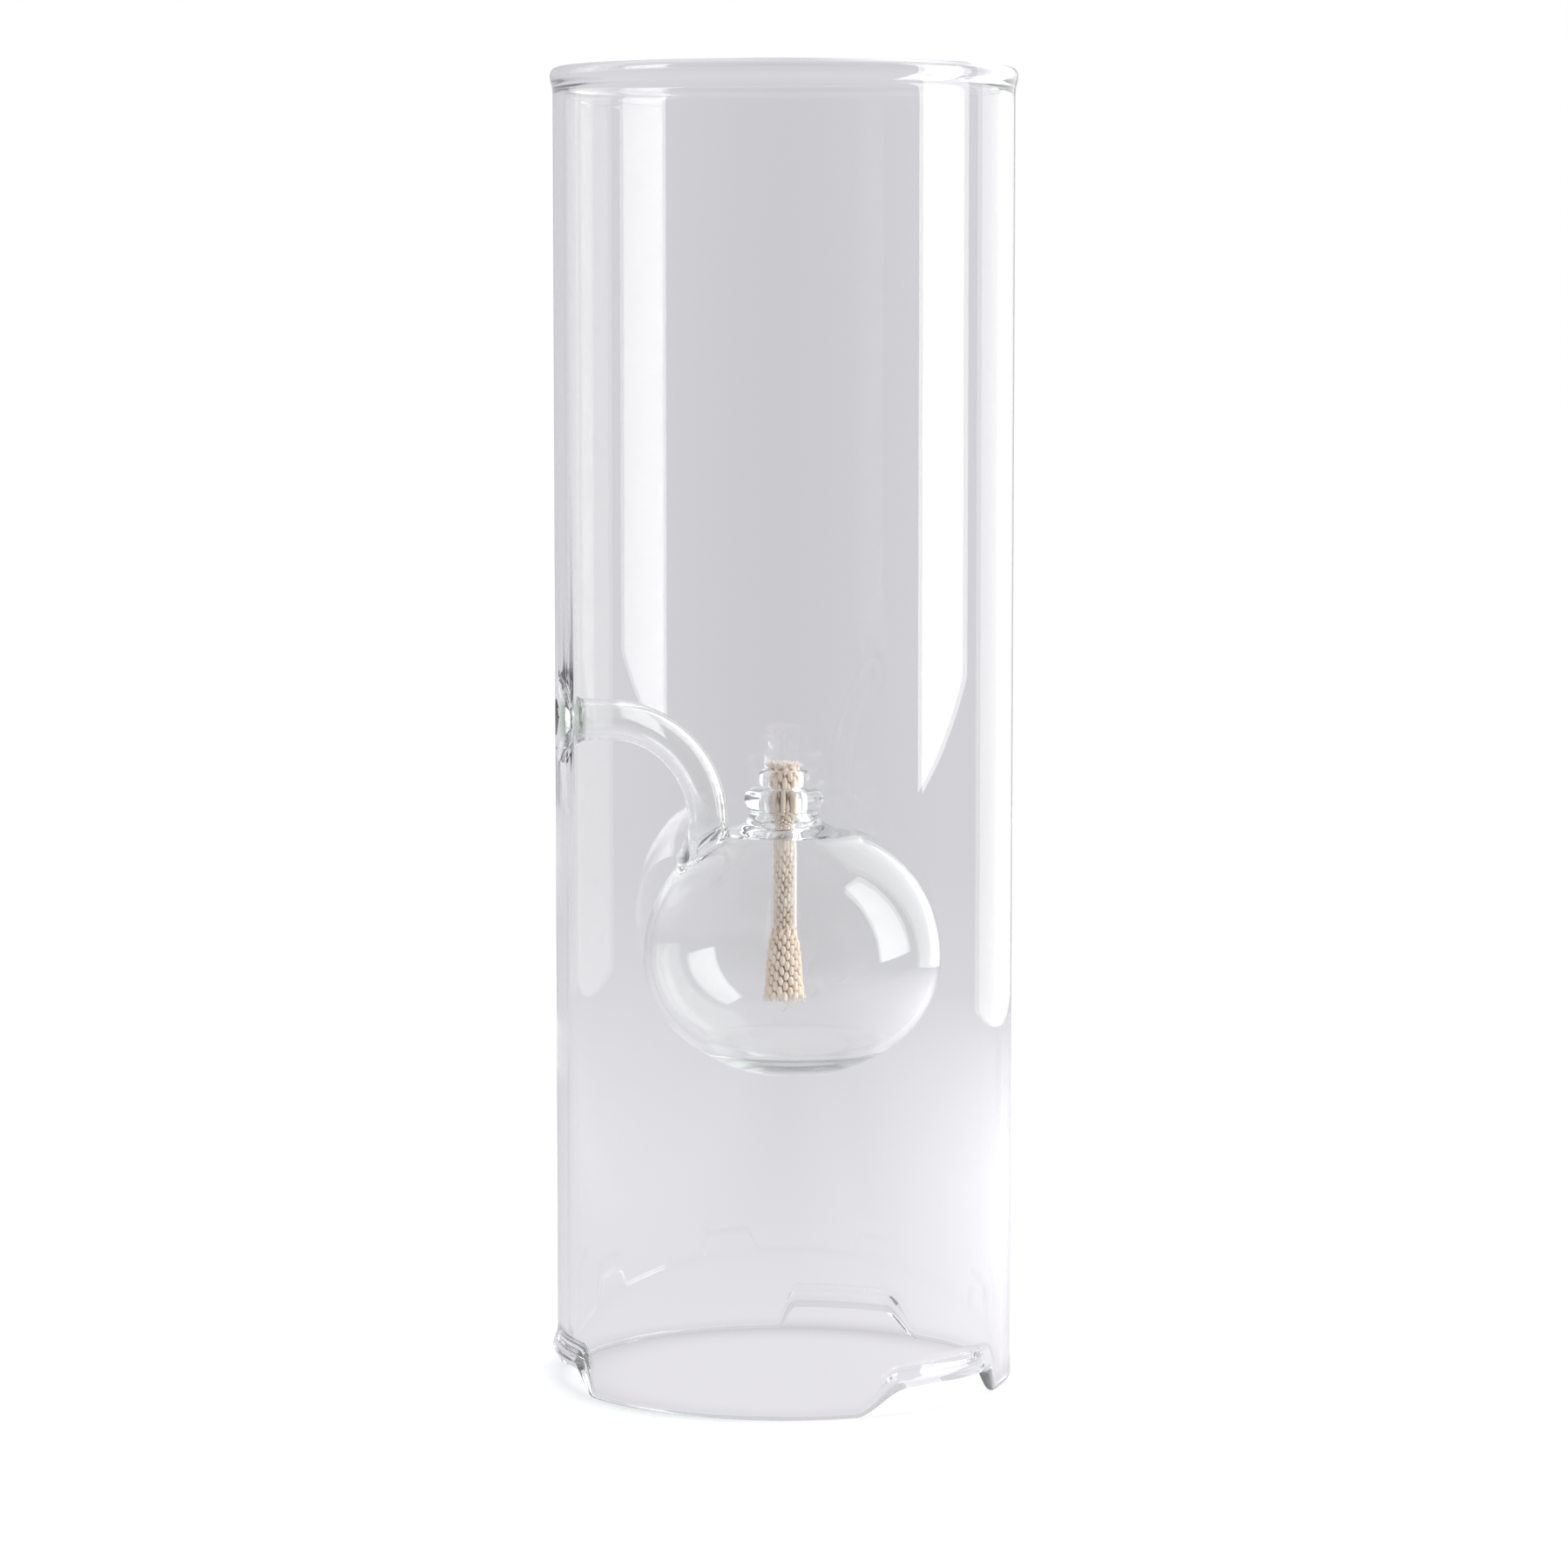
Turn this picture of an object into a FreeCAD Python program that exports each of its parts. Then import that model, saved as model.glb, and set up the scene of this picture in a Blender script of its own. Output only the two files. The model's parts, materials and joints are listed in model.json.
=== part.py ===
import FreeCAD, Part
import math
import os
import re

import Sketcher

# Hand-blown glass oil lamp: an open glass chimney with a glass reservoir hung inside it on a hollow
# filling arm, and a loose glass wick holder with a cotton wick. Millimetres, +Z up, z = 0 on the feet,
# the origin on the chimney's axis, and the filling arm on the -X side.

doc = FreeCAD.newDocument("oil_lamp")

# Sizes that can be set by themselves, each written once.
DRIVING = {
    # chimney
    "chimney_od": 80.0,
    "chimney_wall": 1.9,
    "chimney_height": 229.0,
    "rim_height": 3.5,
    "rim_lip_out": 0.5,
    "rim_lip_in": 0.6,
    "rim_round": 1.35,
    "foot_round": 0.45,
    # air notches in the foot
    "notch_count": 3,
    "notch_base_width": 30.0,
    "notch_top_width": 17.6,
    "notch_height": 4.2,
    # filling mouth in the chimney's wall
    "mouth_height": 116.6,
    "mouth_flare": 12.4,
    "mouth_bore": 6.4,
    "mouth_depth": 1.2,
    "mouth_sweep": 4.4,
    "mouth_trim": 0.5,
    "funnel_od": 14.7,
    "funnel_depth": 3.2,
    "weld_swell": 0.15,
    # hollow filling arm
    "arm_od": 7.0,
    "arm_wall": 1.0,
    "arm_bend": 18.0,
    "arm_offset": 13.6,
    "arm_collar_od": 10.4,
    "arm_collar_height": 5.5,
    # blown reservoir
    "bowl_od": 52.3,
    "bowl_shift": 1.5,
    "bowl_middle": 74.5,
    "bowl_crown": 24.8,
    "bowl_flat": 22.5,
    "bowl_belly": 21.4,
    "bowl_wall": 1.2,
    "bowl_top_wall": 1.5,
    "bowl_base_glass": 4.5,
    "neck_hole": 7.9,
    # reservoir neck
    "neck_height": 7.1,
    "neck_bore": 6.0,
    "neck_lip_round": 0.8,
    "bead_od": 14.0,
    "bead_round": 2.1,
    "waist_od": 11.8,
    "skirt_od": 18.0,
    "skirt_edge": 0.4,
    "skirt_height": 2.3,
    # glass wick holder
    "seat_gap": 0.02,
    "holder_head_od": 8.9,
    "holder_head_height": 3.2,
    "holder_head_round": 1.25,
    "holder_flare_bore": 6.0,
    "holder_flare_depth": 1.4,
    "holder_bore": 4.0,
    "holder_wall": 0.3,
    "holder_length": 24.8,
    # cotton wick
    "wick_clearance": 0.1,
    "wick_above_holder": 1.2,
    "wick_below_holder": 13.1,
    "wick_tail_length": 5.0,
    "wick_tail_clearance": 0.3,
}

# Sizes worked out from those above.
DERIVED = {
    "notch_end": "(notch_base_width - notch_top_width) / 2",
    "notch_round": "(notch_end * notch_end + notch_height * notch_height) / (4 * notch_height)",
    "chimney_out": "chimney_od / 2",
    "chimney_in": "chimney_out - chimney_wall",
    "rim_out": "chimney_out + rim_lip_out",
    "rim_in": "chimney_in - rim_lip_in",
    "funnel_out": "funnel_od / 2",
    "funnel_start": "sqrt(chimney_in * chimney_in - funnel_out * funnel_out)",
    "weld_place": "chimney_in - funnel_depth",
    "weld_out": "arm_od / 2 + weld_swell",
    "arm_out": "arm_od / 2",
    "arm_bore": "arm_od - 2 * arm_wall",
    "arm_turn": "arm_offset + arm_bend",
    "arm_level": "mouth_height - arm_bend",
    "bowl_out": "bowl_od / 2",
    "bowl_in": "bowl_out - bowl_wall",
    "bowl_in_crown": "bowl_crown - bowl_top_wall",
    "bowl_in_flat": "bowl_flat - bowl_top_wall",
    "bowl_in_belly": "bowl_belly - bowl_wall",
    "bowl_in_floor": "bowl_belly - bowl_base_glass",
    "bowl_top": "bowl_middle + bowl_flat",
    "collar_out": "arm_collar_od / 2",
    "collar_top": "bowl_top + 1.5",
    "collar_low": "collar_top - arm_collar_height",
    "neck_in": "neck_bore / 2",
    "neck_top": "bowl_top + neck_height",
    "bead_out": "bead_od / 2",
    "bead_middle": "neck_top - bead_round",
    "bead_centre": "bead_out - bead_round",
    "waist_out": "waist_od / 2",
    "waist_drop": "sqrt(bead_round * bead_round - (waist_out - bead_centre) * (waist_out - bead_centre))",
    "skirt_out": "skirt_od / 2",
    "skirt_rise": "skirt_height - skirt_edge",
    "holder_seat": "neck_top + seat_gap",
    "holder_top": "holder_seat + holder_head_height",
    "holder_end": "holder_seat - holder_length",
    "holder_od": "holder_bore + 2 * holder_wall",
    "head_out": "holder_head_od / 2",
    "flare_in": "holder_flare_bore / 2",
    "tube_in": "holder_bore / 2",
    "wick_out": "tube_in - wick_clearance",
    "wick_top": "holder_top + wick_above_holder",
    "wick_end": "holder_end - wick_below_holder",
    "wick_tail_top": "wick_end + wick_tail_length",
    "wick_tail_out": "neck_in - wick_tail_clearance",
}

# An oval of four arcs inside a box of half-width a and half-height b: the arcs meet at turn_x, turn_y,
# and side and pole are their radii.
OVAL = {
    "span": "sqrt({a} * {a} + {b} * {b})",
    "turn_x": "({p}_span + {a} - {b}) / 2",
    "turn_y": "({p}_span - {a} + {b}) / 2",
    "side": "{p}_span * ({p}_span - {a} + {b}) / (2 * {a})",
    "pole": "{p}_span * ({p}_span + {a} - {b}) / (2 * {b})",
}
OVALS = {
    "crown": ("bowl_out", "bowl_crown"),
    "belly": ("bowl_out", "bowl_belly"),
    "vault": ("bowl_in", "bowl_in_crown"),
    "basin": ("bowl_in", "bowl_in_belly"),
}
# The radius at which a flat top or floor cuts an oval's pole arc.
FLATS = {
    "crown": ("bowl_crown", "bowl_flat"),
    "vault": ("bowl_in_crown", "bowl_in_flat"),
    "basin": ("bowl_in_belly", "bowl_in_floor"),
}

sheet = doc.addObject("Spreadsheet::Sheet", "Sizes")
values = {}


def add_cell(name, text):
    """Write one cell of the sheet and give it its alias."""
    cell = f"B{len(values) + 1}"
    sheet.set(f"A{len(values) + 1}", name)
    sheet.set(cell, text)
    sheet.setAlias(cell, name)
    values[name] = cell


def fill_sheet():
    """Put the driving sizes and then the ones worked out from them in the sheet."""
    for name, size in DRIVING.items():
        add_cell(name, str(size))
    for name, formula in DERIVED.items():
        add_cell(name, "=" + formula)
    for prefix, (wide, tall) in OVALS.items():
        for part, formula in OVAL.items():
            add_cell(f"{prefix}_{part}", "=" + formula.format(p=prefix, a=wide, b=tall))
    for prefix, (tall, flat) in FLATS.items():
        drop = f"({prefix}_pole - {tall} + {flat})"
        add_cell(f"{prefix}_flat_x", f"=sqrt({prefix}_pole * {prefix}_pole - {drop} * {drop})")
    doc.recompute()


def size(text):
    """The number that an expression of sheet aliases gives."""
    known = {word: float(sheet.get(values[word])) for word in re.findall(r"[a-z_]+", text) if word in values}
    total = 0.0
    for sign, term in re.findall(r"([+-]?)\s*([a-z_0-9./ ]+)", text):
        top, _, bottom = term.strip().partition("/")
        number = known[top.strip()] if top.strip() in known else float(top)
        number = number / float(bottom) if bottom else number
        total += -number if sign == "-" else number
    return total


def bound(text):
    """The same expression as another object of the document reads it."""
    return re.sub(r"[a-z_]+", lambda m: "Sizes." + m.group(0) if m.group(0) in values else m.group(0), text)


def plane_of(body, role):
    """One of the body's own origin planes."""
    return next(f for f in body.Origin.OriginFeatures if f.Role == role)


def new_body(name):
    """An empty body whose label is the sub-part's name."""
    body = doc.addObject("PartDesign::Body", name)
    body.Label = name
    return body


def new_sketch(body, name, role, right="0", up="0", out="0"):
    """A sketch on an origin plane of the body, moved by expressions along the plane and off it."""
    sketch = body.newObject("Sketcher::SketchObject", name)
    sketch.AttachmentSupport = [(plane_of(body, role), "")]
    sketch.MapMode = "FlatFace"
    for axis, text in zip("xyz", (right, up, out)):
        if text != "0":
            sketch.setExpression(f"AttachmentOffset.Base.{axis}", bound(text))
    return sketch


def pin(sketch, geometry, end, x, y):
    """Hold one end of a curve at a place given by expressions."""
    for axis, kind, text in ((-2, "DistanceX", x), (-1, "DistanceY", y)):
        if text == "0":
            sketch.addConstraint(Sketcher.Constraint("PointOnObject", geometry, end, axis))
        else:
            number = sketch.addConstraint(Sketcher.Constraint(kind, -1, 1, geometry, end, size(text)))
            sketch.setExpression(f"Constraints[{number}]", bound(text))


def arc_between(start, stop, radius, turn):
    """The arc from start to stop that turns left (turn = 1) or right (turn = -1)."""
    chord = stop - start
    rise = math.sqrt(max(radius ** 2 - (chord.Length / 2) ** 2, 0.0))
    normal = FreeCAD.Vector(-chord.y, chord.x, 0).normalize()
    centre = (start + stop) / 2 + normal * rise * turn
    first, last = (start, stop) if turn > 0 else (stop, start)
    angles = [math.atan2(point.y - centre.y, point.x - centre.x) for point in (first, last)]
    if angles[1] < angles[0]:
        angles[1] += 2 * math.pi
    return Part.ArcOfCircle(Part.Circle(centre, FreeCAD.Vector(0, 0, 1), radius), *angles)


def draw(sketch, corners, closed=True):
    """Draw an outline. A corner is (x, y), or (x, y, radius, turn) where an arc runs on to the next one."""
    places = [FreeCAD.Vector(size(corner[0]), size(corner[1]), 0) for corner in corners]
    count = len(corners) if closed else len(corners) - 1
    ends = []
    for i in range(count):
        start, stop = places[i], places[(i + 1) % len(corners)]
        if len(corners[i]) == 2:
            sketch.addGeometry(Part.LineSegment(start, stop), False)
            ends.append((1, 2))
        else:
            radius, turn = corners[i][2:]
            sketch.addGeometry(arc_between(start, stop, size(radius), turn), False)
            ends.append((1, 2) if turn > 0 else (2, 1))
    for i in range(count if closed else count - 1):
        following = (i + 1) % count
        link = (i, ends[i][1], following, ends[following][0])
        sketch.addConstraint(Sketcher.Constraint("Coincident", *link))
    for i in range(count):
        pin(sketch, i, ends[i][0], *corners[i][:2])
        if len(corners[i]) == 4:
            number = sketch.addConstraint(Sketcher.Constraint("Radius", i, size(corners[i][2])))
            sketch.setExpression(f"Constraints[{number}]", bound(corners[i][2]))
    if not closed:
        pin(sketch, count - 1, ends[-1][1], *corners[-1][:2])


def draw_circle(sketch, x, y, diameter):
    """Draw a circle whose centre and diameter follow expressions."""
    centre = FreeCAD.Vector(size(x), size(y), 0)
    circle = Part.Circle(centre, FreeCAD.Vector(0, 0, 1), size(diameter) / 2)
    sketch.addGeometry(circle, False)
    pin(sketch, 0, 3, x, y)
    number = sketch.addConstraint(Sketcher.Constraint("Diameter", 0, size(diameter)))
    sketch.setExpression(f"Constraints[{number}]", bound(diameter))


def turn_profile(body, name, sketch, axis="V_Axis", kind="Revolution"):
    """Revolve a sketch a whole turn about one of its own axes, to add glass or take it away."""
    feature = body.newObject(f"PartDesign::{kind}", name)
    feature.Profile = sketch
    feature.ReferenceAxis = (sketch, [axis])
    feature.Angle = 360
    doc.recompute()
    return feature


def cut_through(body, name, sketch, length, towards):
    """Pocket a sketch by the given length on the side that the direction towards points to."""
    before = body.Shape.copy()
    feature = body.newObject("PartDesign::Pocket", name)
    feature.Profile = sketch
    feature.Type = "Length"
    feature.setExpression("Length", bound(length))
    doc.recompute()
    removed = before.cut(body.Shape)
    if removed.isNull() or removed.Volume < 1e-6 or removed.BoundBox.Center.dot(towards) < 0:
        feature.Reversed = True
        doc.recompute()
    return feature


def build_chimney():
    """The tube with its thickened rim, rounded foot, air notches and the hole for the filling funnel."""
    body = new_body("chimney")
    wall = new_sketch(body, "chimney_profile", "XZ_Plane")
    draw(wall, [
        ("chimney_in + foot_round", "0"),
        ("chimney_out - foot_round", "0", "foot_round", 1),
        ("chimney_out", "foot_round"),
        ("chimney_out", "chimney_height - rim_height"),
        ("rim_out", "chimney_height - rim_round", "rim_round", 1),
        ("rim_out - rim_round", "chimney_height"),
        ("rim_in + rim_round", "chimney_height", "rim_round", 1),
        ("rim_in", "chimney_height - rim_round"),
        ("chimney_in", "chimney_height - rim_height"),
        ("chimney_in", "foot_round", "foot_round", 1),
    ])
    turn_profile(body, "chimney_wall_turned", wall)
    notch = new_sketch(body, "notch_profile", "YZ_Plane")
    draw(notch, [
        ("0 - notch_base_width / 2", "0 - notch_height"),
        ("notch_base_width / 2", "0 - notch_height"),
        ("notch_base_width / 2", "0", "notch_round", -1),
        ("notch_base_width / 4 + notch_top_width / 4", "notch_height / 2", "notch_round", 1),
        ("notch_top_width / 2", "notch_height"),
        ("0 - notch_top_width / 2", "notch_height", "notch_round", 1),
        ("0 - notch_base_width / 4 - notch_top_width / 4", "notch_height / 2", "notch_round", -1),
        ("0 - notch_base_width / 2", "0"),
    ])
    side = FreeCAD.Vector(-1, 0, 0)
    pocket = cut_through(body, "notch_under_arm", notch, "chimney_od", side)
    pattern = body.newObject("PartDesign::PolarPattern", "notches")
    pattern.Originals = [pocket]
    pattern.Axis = (notch, ["V_Axis"])
    pattern.Angle = 360
    body.Tip = pattern
    pattern.setExpression("Occurrences", bound("notch_count"))
    doc.recompute()
    mouth = new_sketch(body, "mouth_circle", "YZ_Plane")
    draw_circle(mouth, "0", "mouth_height", "funnel_od")
    cut_through(body, "mouth_hole", mouth, "chimney_od", side)
    return body


def build_funnel():
    """The funnel that leads from the mouth in the chimney's wall down to the size of the arm."""
    body = new_body("funnel_turned")
    profile = new_sketch(body, "funnel_profile", "XZ_Plane", up="mouth_height")
    draw(profile, [
        ("0 - chimney_out - mouth_trim", "mouth_flare / 2"),
        ("0 - chimney_out", "mouth_flare / 2", "mouth_sweep", 1),
        ("0 - chimney_out + mouth_depth", "mouth_bore / 2"),
        ("0 - funnel_start", "arm_bore / 2"),
        ("0 - weld_place", "arm_bore / 2"),
        ("0 - weld_place", "weld_out", "funnel_depth", 1),
        ("0 - funnel_start", "funnel_out"),
        ("0 - chimney_out - mouth_trim", "funnel_out"),
    ])
    turn_profile(body, "funnel_wall_turned", profile, "H_Axis")
    round_glass = doc.addObject("Part::Cylinder", "chimney_outside")
    round_glass.setExpression("Radius", bound("chimney_out"))
    round_glass.setExpression("Height", bound("chimney_height"))
    flush = doc.addObject("Part::Common", "filler_funnel")
    flush.Base = body
    flush.Tool = round_glass
    flush.Label = "filler_funnel"
    doc.recompute()
    return flush


def draw_bowl(sketch, upper, lower, foot, top):
    """Half of the bowl's outline: the corners of its foot, then ovals of the sheet up to a flat top."""
    wide = OVALS[upper][0]
    draw(sketch, foot + [
        (f"{lower}_turn_x", f"0 - {lower}_turn_y", f"{lower}_side", 1),
        (wide, "0", f"{upper}_side", 1),
        (f"{upper}_turn_x", f"{upper}_turn_y", f"{upper}_pole", 1),
        (f"{upper}_flat_x", top),
        ("0", top),
    ])


def bowl_outside(body):
    """The bowl's outer shape as solid glass."""
    name = body.Name
    outline = new_sketch(body, f"{name}_outline", "XZ_Plane", right="bowl_shift", up="bowl_middle")
    draw_bowl(outline, "crown", "belly", [("0", "0 - bowl_belly", "belly_pole", 1)], "bowl_flat")
    turn_profile(body, f"{name}_turned", outline)


def build_bowl():
    """The blown bowl, with a thick base, the hole under its neck and the hole that the arm feeds."""
    body = new_body("reservoir_bowl")
    bowl_outside(body)
    inside = new_sketch(body, "bowl_inside", "XZ_Plane", right="bowl_shift", up="bowl_middle")
    floor = [("0", "0 - bowl_in_floor"), ("basin_flat_x", "0 - bowl_in_floor", "basin_pole", 1)]
    draw_bowl(inside, "vault", "basin", floor, "bowl_in_flat")
    turn_profile(body, "bowl_hollow", inside, kind="Groove")
    down = FreeCAD.Vector(0, 0, 1)
    neck = new_sketch(body, "neck_circle", "XY_Plane", out="bowl_top")
    draw_circle(neck, "0", "0", "neck_hole")
    cut_through(body, "neck_opening", neck, "bowl_flat / 2", down)
    feed = new_sketch(body, "feed_circle", "XY_Plane", out="bowl_top")
    draw_circle(feed, "0 - arm_offset", "0", "arm_bore")
    cut_through(body, "feed_opening", feed, "bowl_flat / 2", down)
    return body


def build_arm():
    """The hollow arm: level from the funnel, bent down, and let into the bowl's shoulder with a collar."""
    body = new_body("arm_swept")
    route = new_sketch(body, "arm_route", "XZ_Plane")
    draw(route, [
        ("0 - weld_place", "mouth_height"),
        ("0 - arm_turn", "mouth_height", "arm_bend", -1),
        ("0 - arm_offset", "arm_level"),
        ("0 - arm_offset", "bowl_middle + bowl_flat / 2"),
    ], closed=False)
    ring = new_sketch(body, "arm_ring", "YZ_Plane", up="mouth_height", out="0 - weld_place")
    draw_circle(ring, "0", "0", "arm_od")
    sweep = body.newObject("PartDesign::AdditivePipe", "arm_rod")
    sweep.Profile = ring
    sweep.Spine = route
    doc.recompute()
    collar = new_sketch(body, "collar_profile", "XZ_Plane", right="0 - arm_offset")
    draw(collar, [
        ("0", "bowl_middle + bowl_flat / 2"),
        ("collar_out", "bowl_middle + bowl_flat / 2"),
        ("collar_out", "collar_low", "arm_collar_height + arm_collar_od", -1),
        ("arm_out", "collar_top"),
        ("0", "collar_top"),
    ])
    turn_profile(body, "arm_collar", collar)
    bore = new_sketch(body, "arm_bore_ring", "YZ_Plane", up="mouth_height", out="0 - weld_place")
    draw_circle(bore, "0", "0", "arm_bore")
    hollow = body.newObject("PartDesign::SubtractivePipe", "arm_hollow")
    hollow.Profile = bore
    hollow.Spine = route
    doc.recompute()
    blank = new_body("bowl_blank")
    bowl_outside(blank)
    trimmed = doc.addObject("Part::Cut", "feed_arm")
    trimmed.Base = body
    trimmed.Tool = blank
    trimmed.Label = "feed_arm"
    doc.recompute()
    return trimmed


def build_neck():
    """The neck on the bowl's flat top, with the rolled bead that the wick holder rests on."""
    body = new_body("reservoir_neck")
    profile = new_sketch(body, "neck_profile", "XZ_Plane")
    draw(profile, [
        ("neck_hole / 2", "bowl_top"),
        ("skirt_out", "bowl_top"),
        ("skirt_out", "bowl_top + skirt_edge", "skirt_rise + waist_out", -1),
        ("waist_out", "bowl_top + skirt_height"),
        ("waist_out", "bead_middle - waist_drop", "bead_round", 1),
        ("bead_out", "bead_middle", "bead_round", 1),
        ("bead_centre", "neck_top"),
        ("neck_in + neck_lip_round", "neck_top", "neck_lip_round", 1),
        ("neck_in", "neck_top - neck_lip_round"),
        ("neck_in", "bowl_top + skirt_height"),
    ])
    turn_profile(body, "neck_turned", profile)
    return body


def build_holder_tube():
    """The thin glass tube that hangs in the neck and holds the wick."""
    body = new_body("wick_tube")
    profile = new_sketch(body, "tube_profile", "XZ_Plane")
    draw(profile, [
        ("tube_in", "holder_end"),
        ("holder_od / 2", "holder_end"),
        ("holder_od / 2", "holder_seat"),
        ("tube_in", "holder_seat"),
    ])
    turn_profile(body, "tube_turned", profile)
    return body


def build_holder_head():
    """The flared button that rests on the neck's bead."""
    body = new_body("wick_head")
    profile = new_sketch(body, "head_profile", "XZ_Plane")
    draw(profile, [
        ("tube_in", "holder_seat"),
        ("head_out - holder_head_round", "holder_seat", "holder_head_round", 1),
        ("head_out", "holder_seat + holder_head_round"),
        ("head_out", "holder_top - holder_head_round", "holder_head_round", 1),
        ("head_out - holder_head_round", "holder_top"),
        ("flare_in", "holder_top", "holder_flare_depth", 1),
        ("tube_in", "holder_top - holder_flare_depth"),
    ])
    turn_profile(body, "head_turned", profile)
    return body


def build_wick():
    """The cotton wick, plain here: a round rod with a tail that swells a little below the holder."""
    body = new_body("wick")
    profile = new_sketch(body, "wick_profile", "XZ_Plane")
    draw(profile, [
        ("0", "wick_end"),
        ("wick_tail_out", "wick_end"),
        ("wick_out", "wick_tail_top"),
        ("wick_out", "wick_top"),
        ("0", "wick_top"),
    ])
    turn_profile(body, "wick_turned", profile)
    return body


def check_and_write(pieces):
    """Stop on a broken feature or solid, then write each piece to its own file."""
    for item in doc.Objects:
        broken = {"Invalid", "Error"} & set(item.State)
        if broken:
            raise RuntimeError(f"{item.Name} is {sorted(broken)}")
    os.makedirs("parts", exist_ok=True)
    for piece in pieces:
        shape = piece.Shape
        if shape.isNull() or not shape.isValid() or len(shape.Solids) != 1:
            raise RuntimeError(f"{piece.Label} isn't one valid solid")
        shape.exportStep(os.path.join("parts", f"{piece.Label}.step"))
        box = shape.BoundBox
        corners = (box.XMin, box.YMin, box.ZMin, box.XMax, box.YMax, box.ZMax)
        print(piece.Label, round(shape.Volume, 1), [round(corner, 2) for corner in corners])


fill_sheet()
BUILDERS = (
    build_chimney,
    build_funnel,
    build_arm,
    build_bowl,
    build_neck,
    build_holder_tube,
    build_holder_head,
    build_wick,
)
check_and_write([build() for build in BUILDERS])
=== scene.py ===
"""Looks of the hand-blown glass oil lamp: glass body, lift-out wick holder and braided cotton wick."""

import json
import logging
import math
from dataclasses import dataclass, field
from enum import Enum

import bmesh
import bpy
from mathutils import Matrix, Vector

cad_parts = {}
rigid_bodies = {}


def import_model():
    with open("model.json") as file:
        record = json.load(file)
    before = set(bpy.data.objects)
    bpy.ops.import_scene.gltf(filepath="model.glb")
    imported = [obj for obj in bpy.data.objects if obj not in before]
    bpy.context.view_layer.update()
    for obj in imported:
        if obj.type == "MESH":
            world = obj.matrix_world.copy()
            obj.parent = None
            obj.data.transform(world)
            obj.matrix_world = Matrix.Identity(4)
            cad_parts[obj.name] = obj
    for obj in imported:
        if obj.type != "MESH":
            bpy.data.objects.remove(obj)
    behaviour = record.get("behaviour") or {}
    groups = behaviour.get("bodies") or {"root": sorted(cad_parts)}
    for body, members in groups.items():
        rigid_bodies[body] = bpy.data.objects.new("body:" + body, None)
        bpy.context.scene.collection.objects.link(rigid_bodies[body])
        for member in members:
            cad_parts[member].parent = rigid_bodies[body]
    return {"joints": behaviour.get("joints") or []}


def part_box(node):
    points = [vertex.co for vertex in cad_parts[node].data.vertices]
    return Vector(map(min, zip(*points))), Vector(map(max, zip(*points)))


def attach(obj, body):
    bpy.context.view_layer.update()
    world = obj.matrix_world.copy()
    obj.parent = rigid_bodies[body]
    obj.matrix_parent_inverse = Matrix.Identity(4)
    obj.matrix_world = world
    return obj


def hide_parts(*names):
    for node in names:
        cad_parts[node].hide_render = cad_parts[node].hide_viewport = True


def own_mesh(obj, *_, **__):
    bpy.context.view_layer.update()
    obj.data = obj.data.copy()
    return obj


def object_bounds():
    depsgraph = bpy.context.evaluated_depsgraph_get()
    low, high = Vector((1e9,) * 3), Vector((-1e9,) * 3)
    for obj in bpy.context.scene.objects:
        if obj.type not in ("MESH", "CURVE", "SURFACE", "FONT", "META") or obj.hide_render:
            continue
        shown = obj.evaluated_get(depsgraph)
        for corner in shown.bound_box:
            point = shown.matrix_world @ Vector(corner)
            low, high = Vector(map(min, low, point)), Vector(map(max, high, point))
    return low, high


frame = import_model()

log = logging.getLogger("oil_lamp")

MM = 0.001
Point = tuple[float, float]
FRAME_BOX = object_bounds()


# ---------------------------------------------------------------- shader maths


class Wire:
    """A shader socket that takes part in Python arithmetic and adds the Math nodes for it."""

    def __init__(self, shop: "NodeShop", socket: bpy.types.NodeSocket) -> None:
        """Wrap one output socket.

        Args:
            shop: the node tree's builder.
            socket: the output socket to wrap.
        """
        self.shop = shop
        self.socket = socket

    def _math(self, operation: str, first: object, second: object = 0.0) -> "Wire":
        """Add one Math node and return its output."""
        return self.shop.node("ShaderNodeMath", {"operation": operation}, {0: first, 1: second}).out()

    def __add__(self, other: object) -> "Wire":
        """Sum with another wire or a number."""
        return self._math("ADD", self, other)

    __radd__ = __add__

    def __sub__(self, other: object) -> "Wire":
        """Difference from another wire or a number."""
        return self._math("SUBTRACT", self, other)

    def __rsub__(self, other: object) -> "Wire":
        """A number less this wire."""
        return self._math("SUBTRACT", other, self)

    def __mul__(self, other: object) -> "Wire":
        """Product with another wire or a number."""
        return self._math("MULTIPLY", self, other)

    __rmul__ = __mul__

    def __truediv__(self, other: object) -> "Wire":
        """Quotient by another wire or a number."""
        return self._math("DIVIDE", self, other)

    def __pow__(self, other: object) -> "Wire":
        """Power of this wire."""
        return self._math("POWER", self, other)

    def absolute(self) -> "Wire":
        """The distance of this wire from zero."""
        return self._math("ABSOLUTE", self)

    def clamped(self) -> "Wire":
        """This wire kept between 0 and 1."""
        result = self._math("ADD", self, 0.0)
        result.socket.node.use_clamp = True
        return result


class Made:
    """A node just added, with short ways to its outputs."""

    def __init__(self, shop: "NodeShop", node: bpy.types.Node) -> None:
        """Keep the node and its builder.

        Args:
            shop: the node tree's builder.
            node: the node that was added.
        """
        self.shop = shop
        self.node = node

    def out(self, name: str | int = 0) -> Wire:
        """One output of the node.

        Args:
            name: the output's name or number.

        Returns:
            The output as a wire.
        """
        return Wire(self.shop, self.node.outputs[name])


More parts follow.
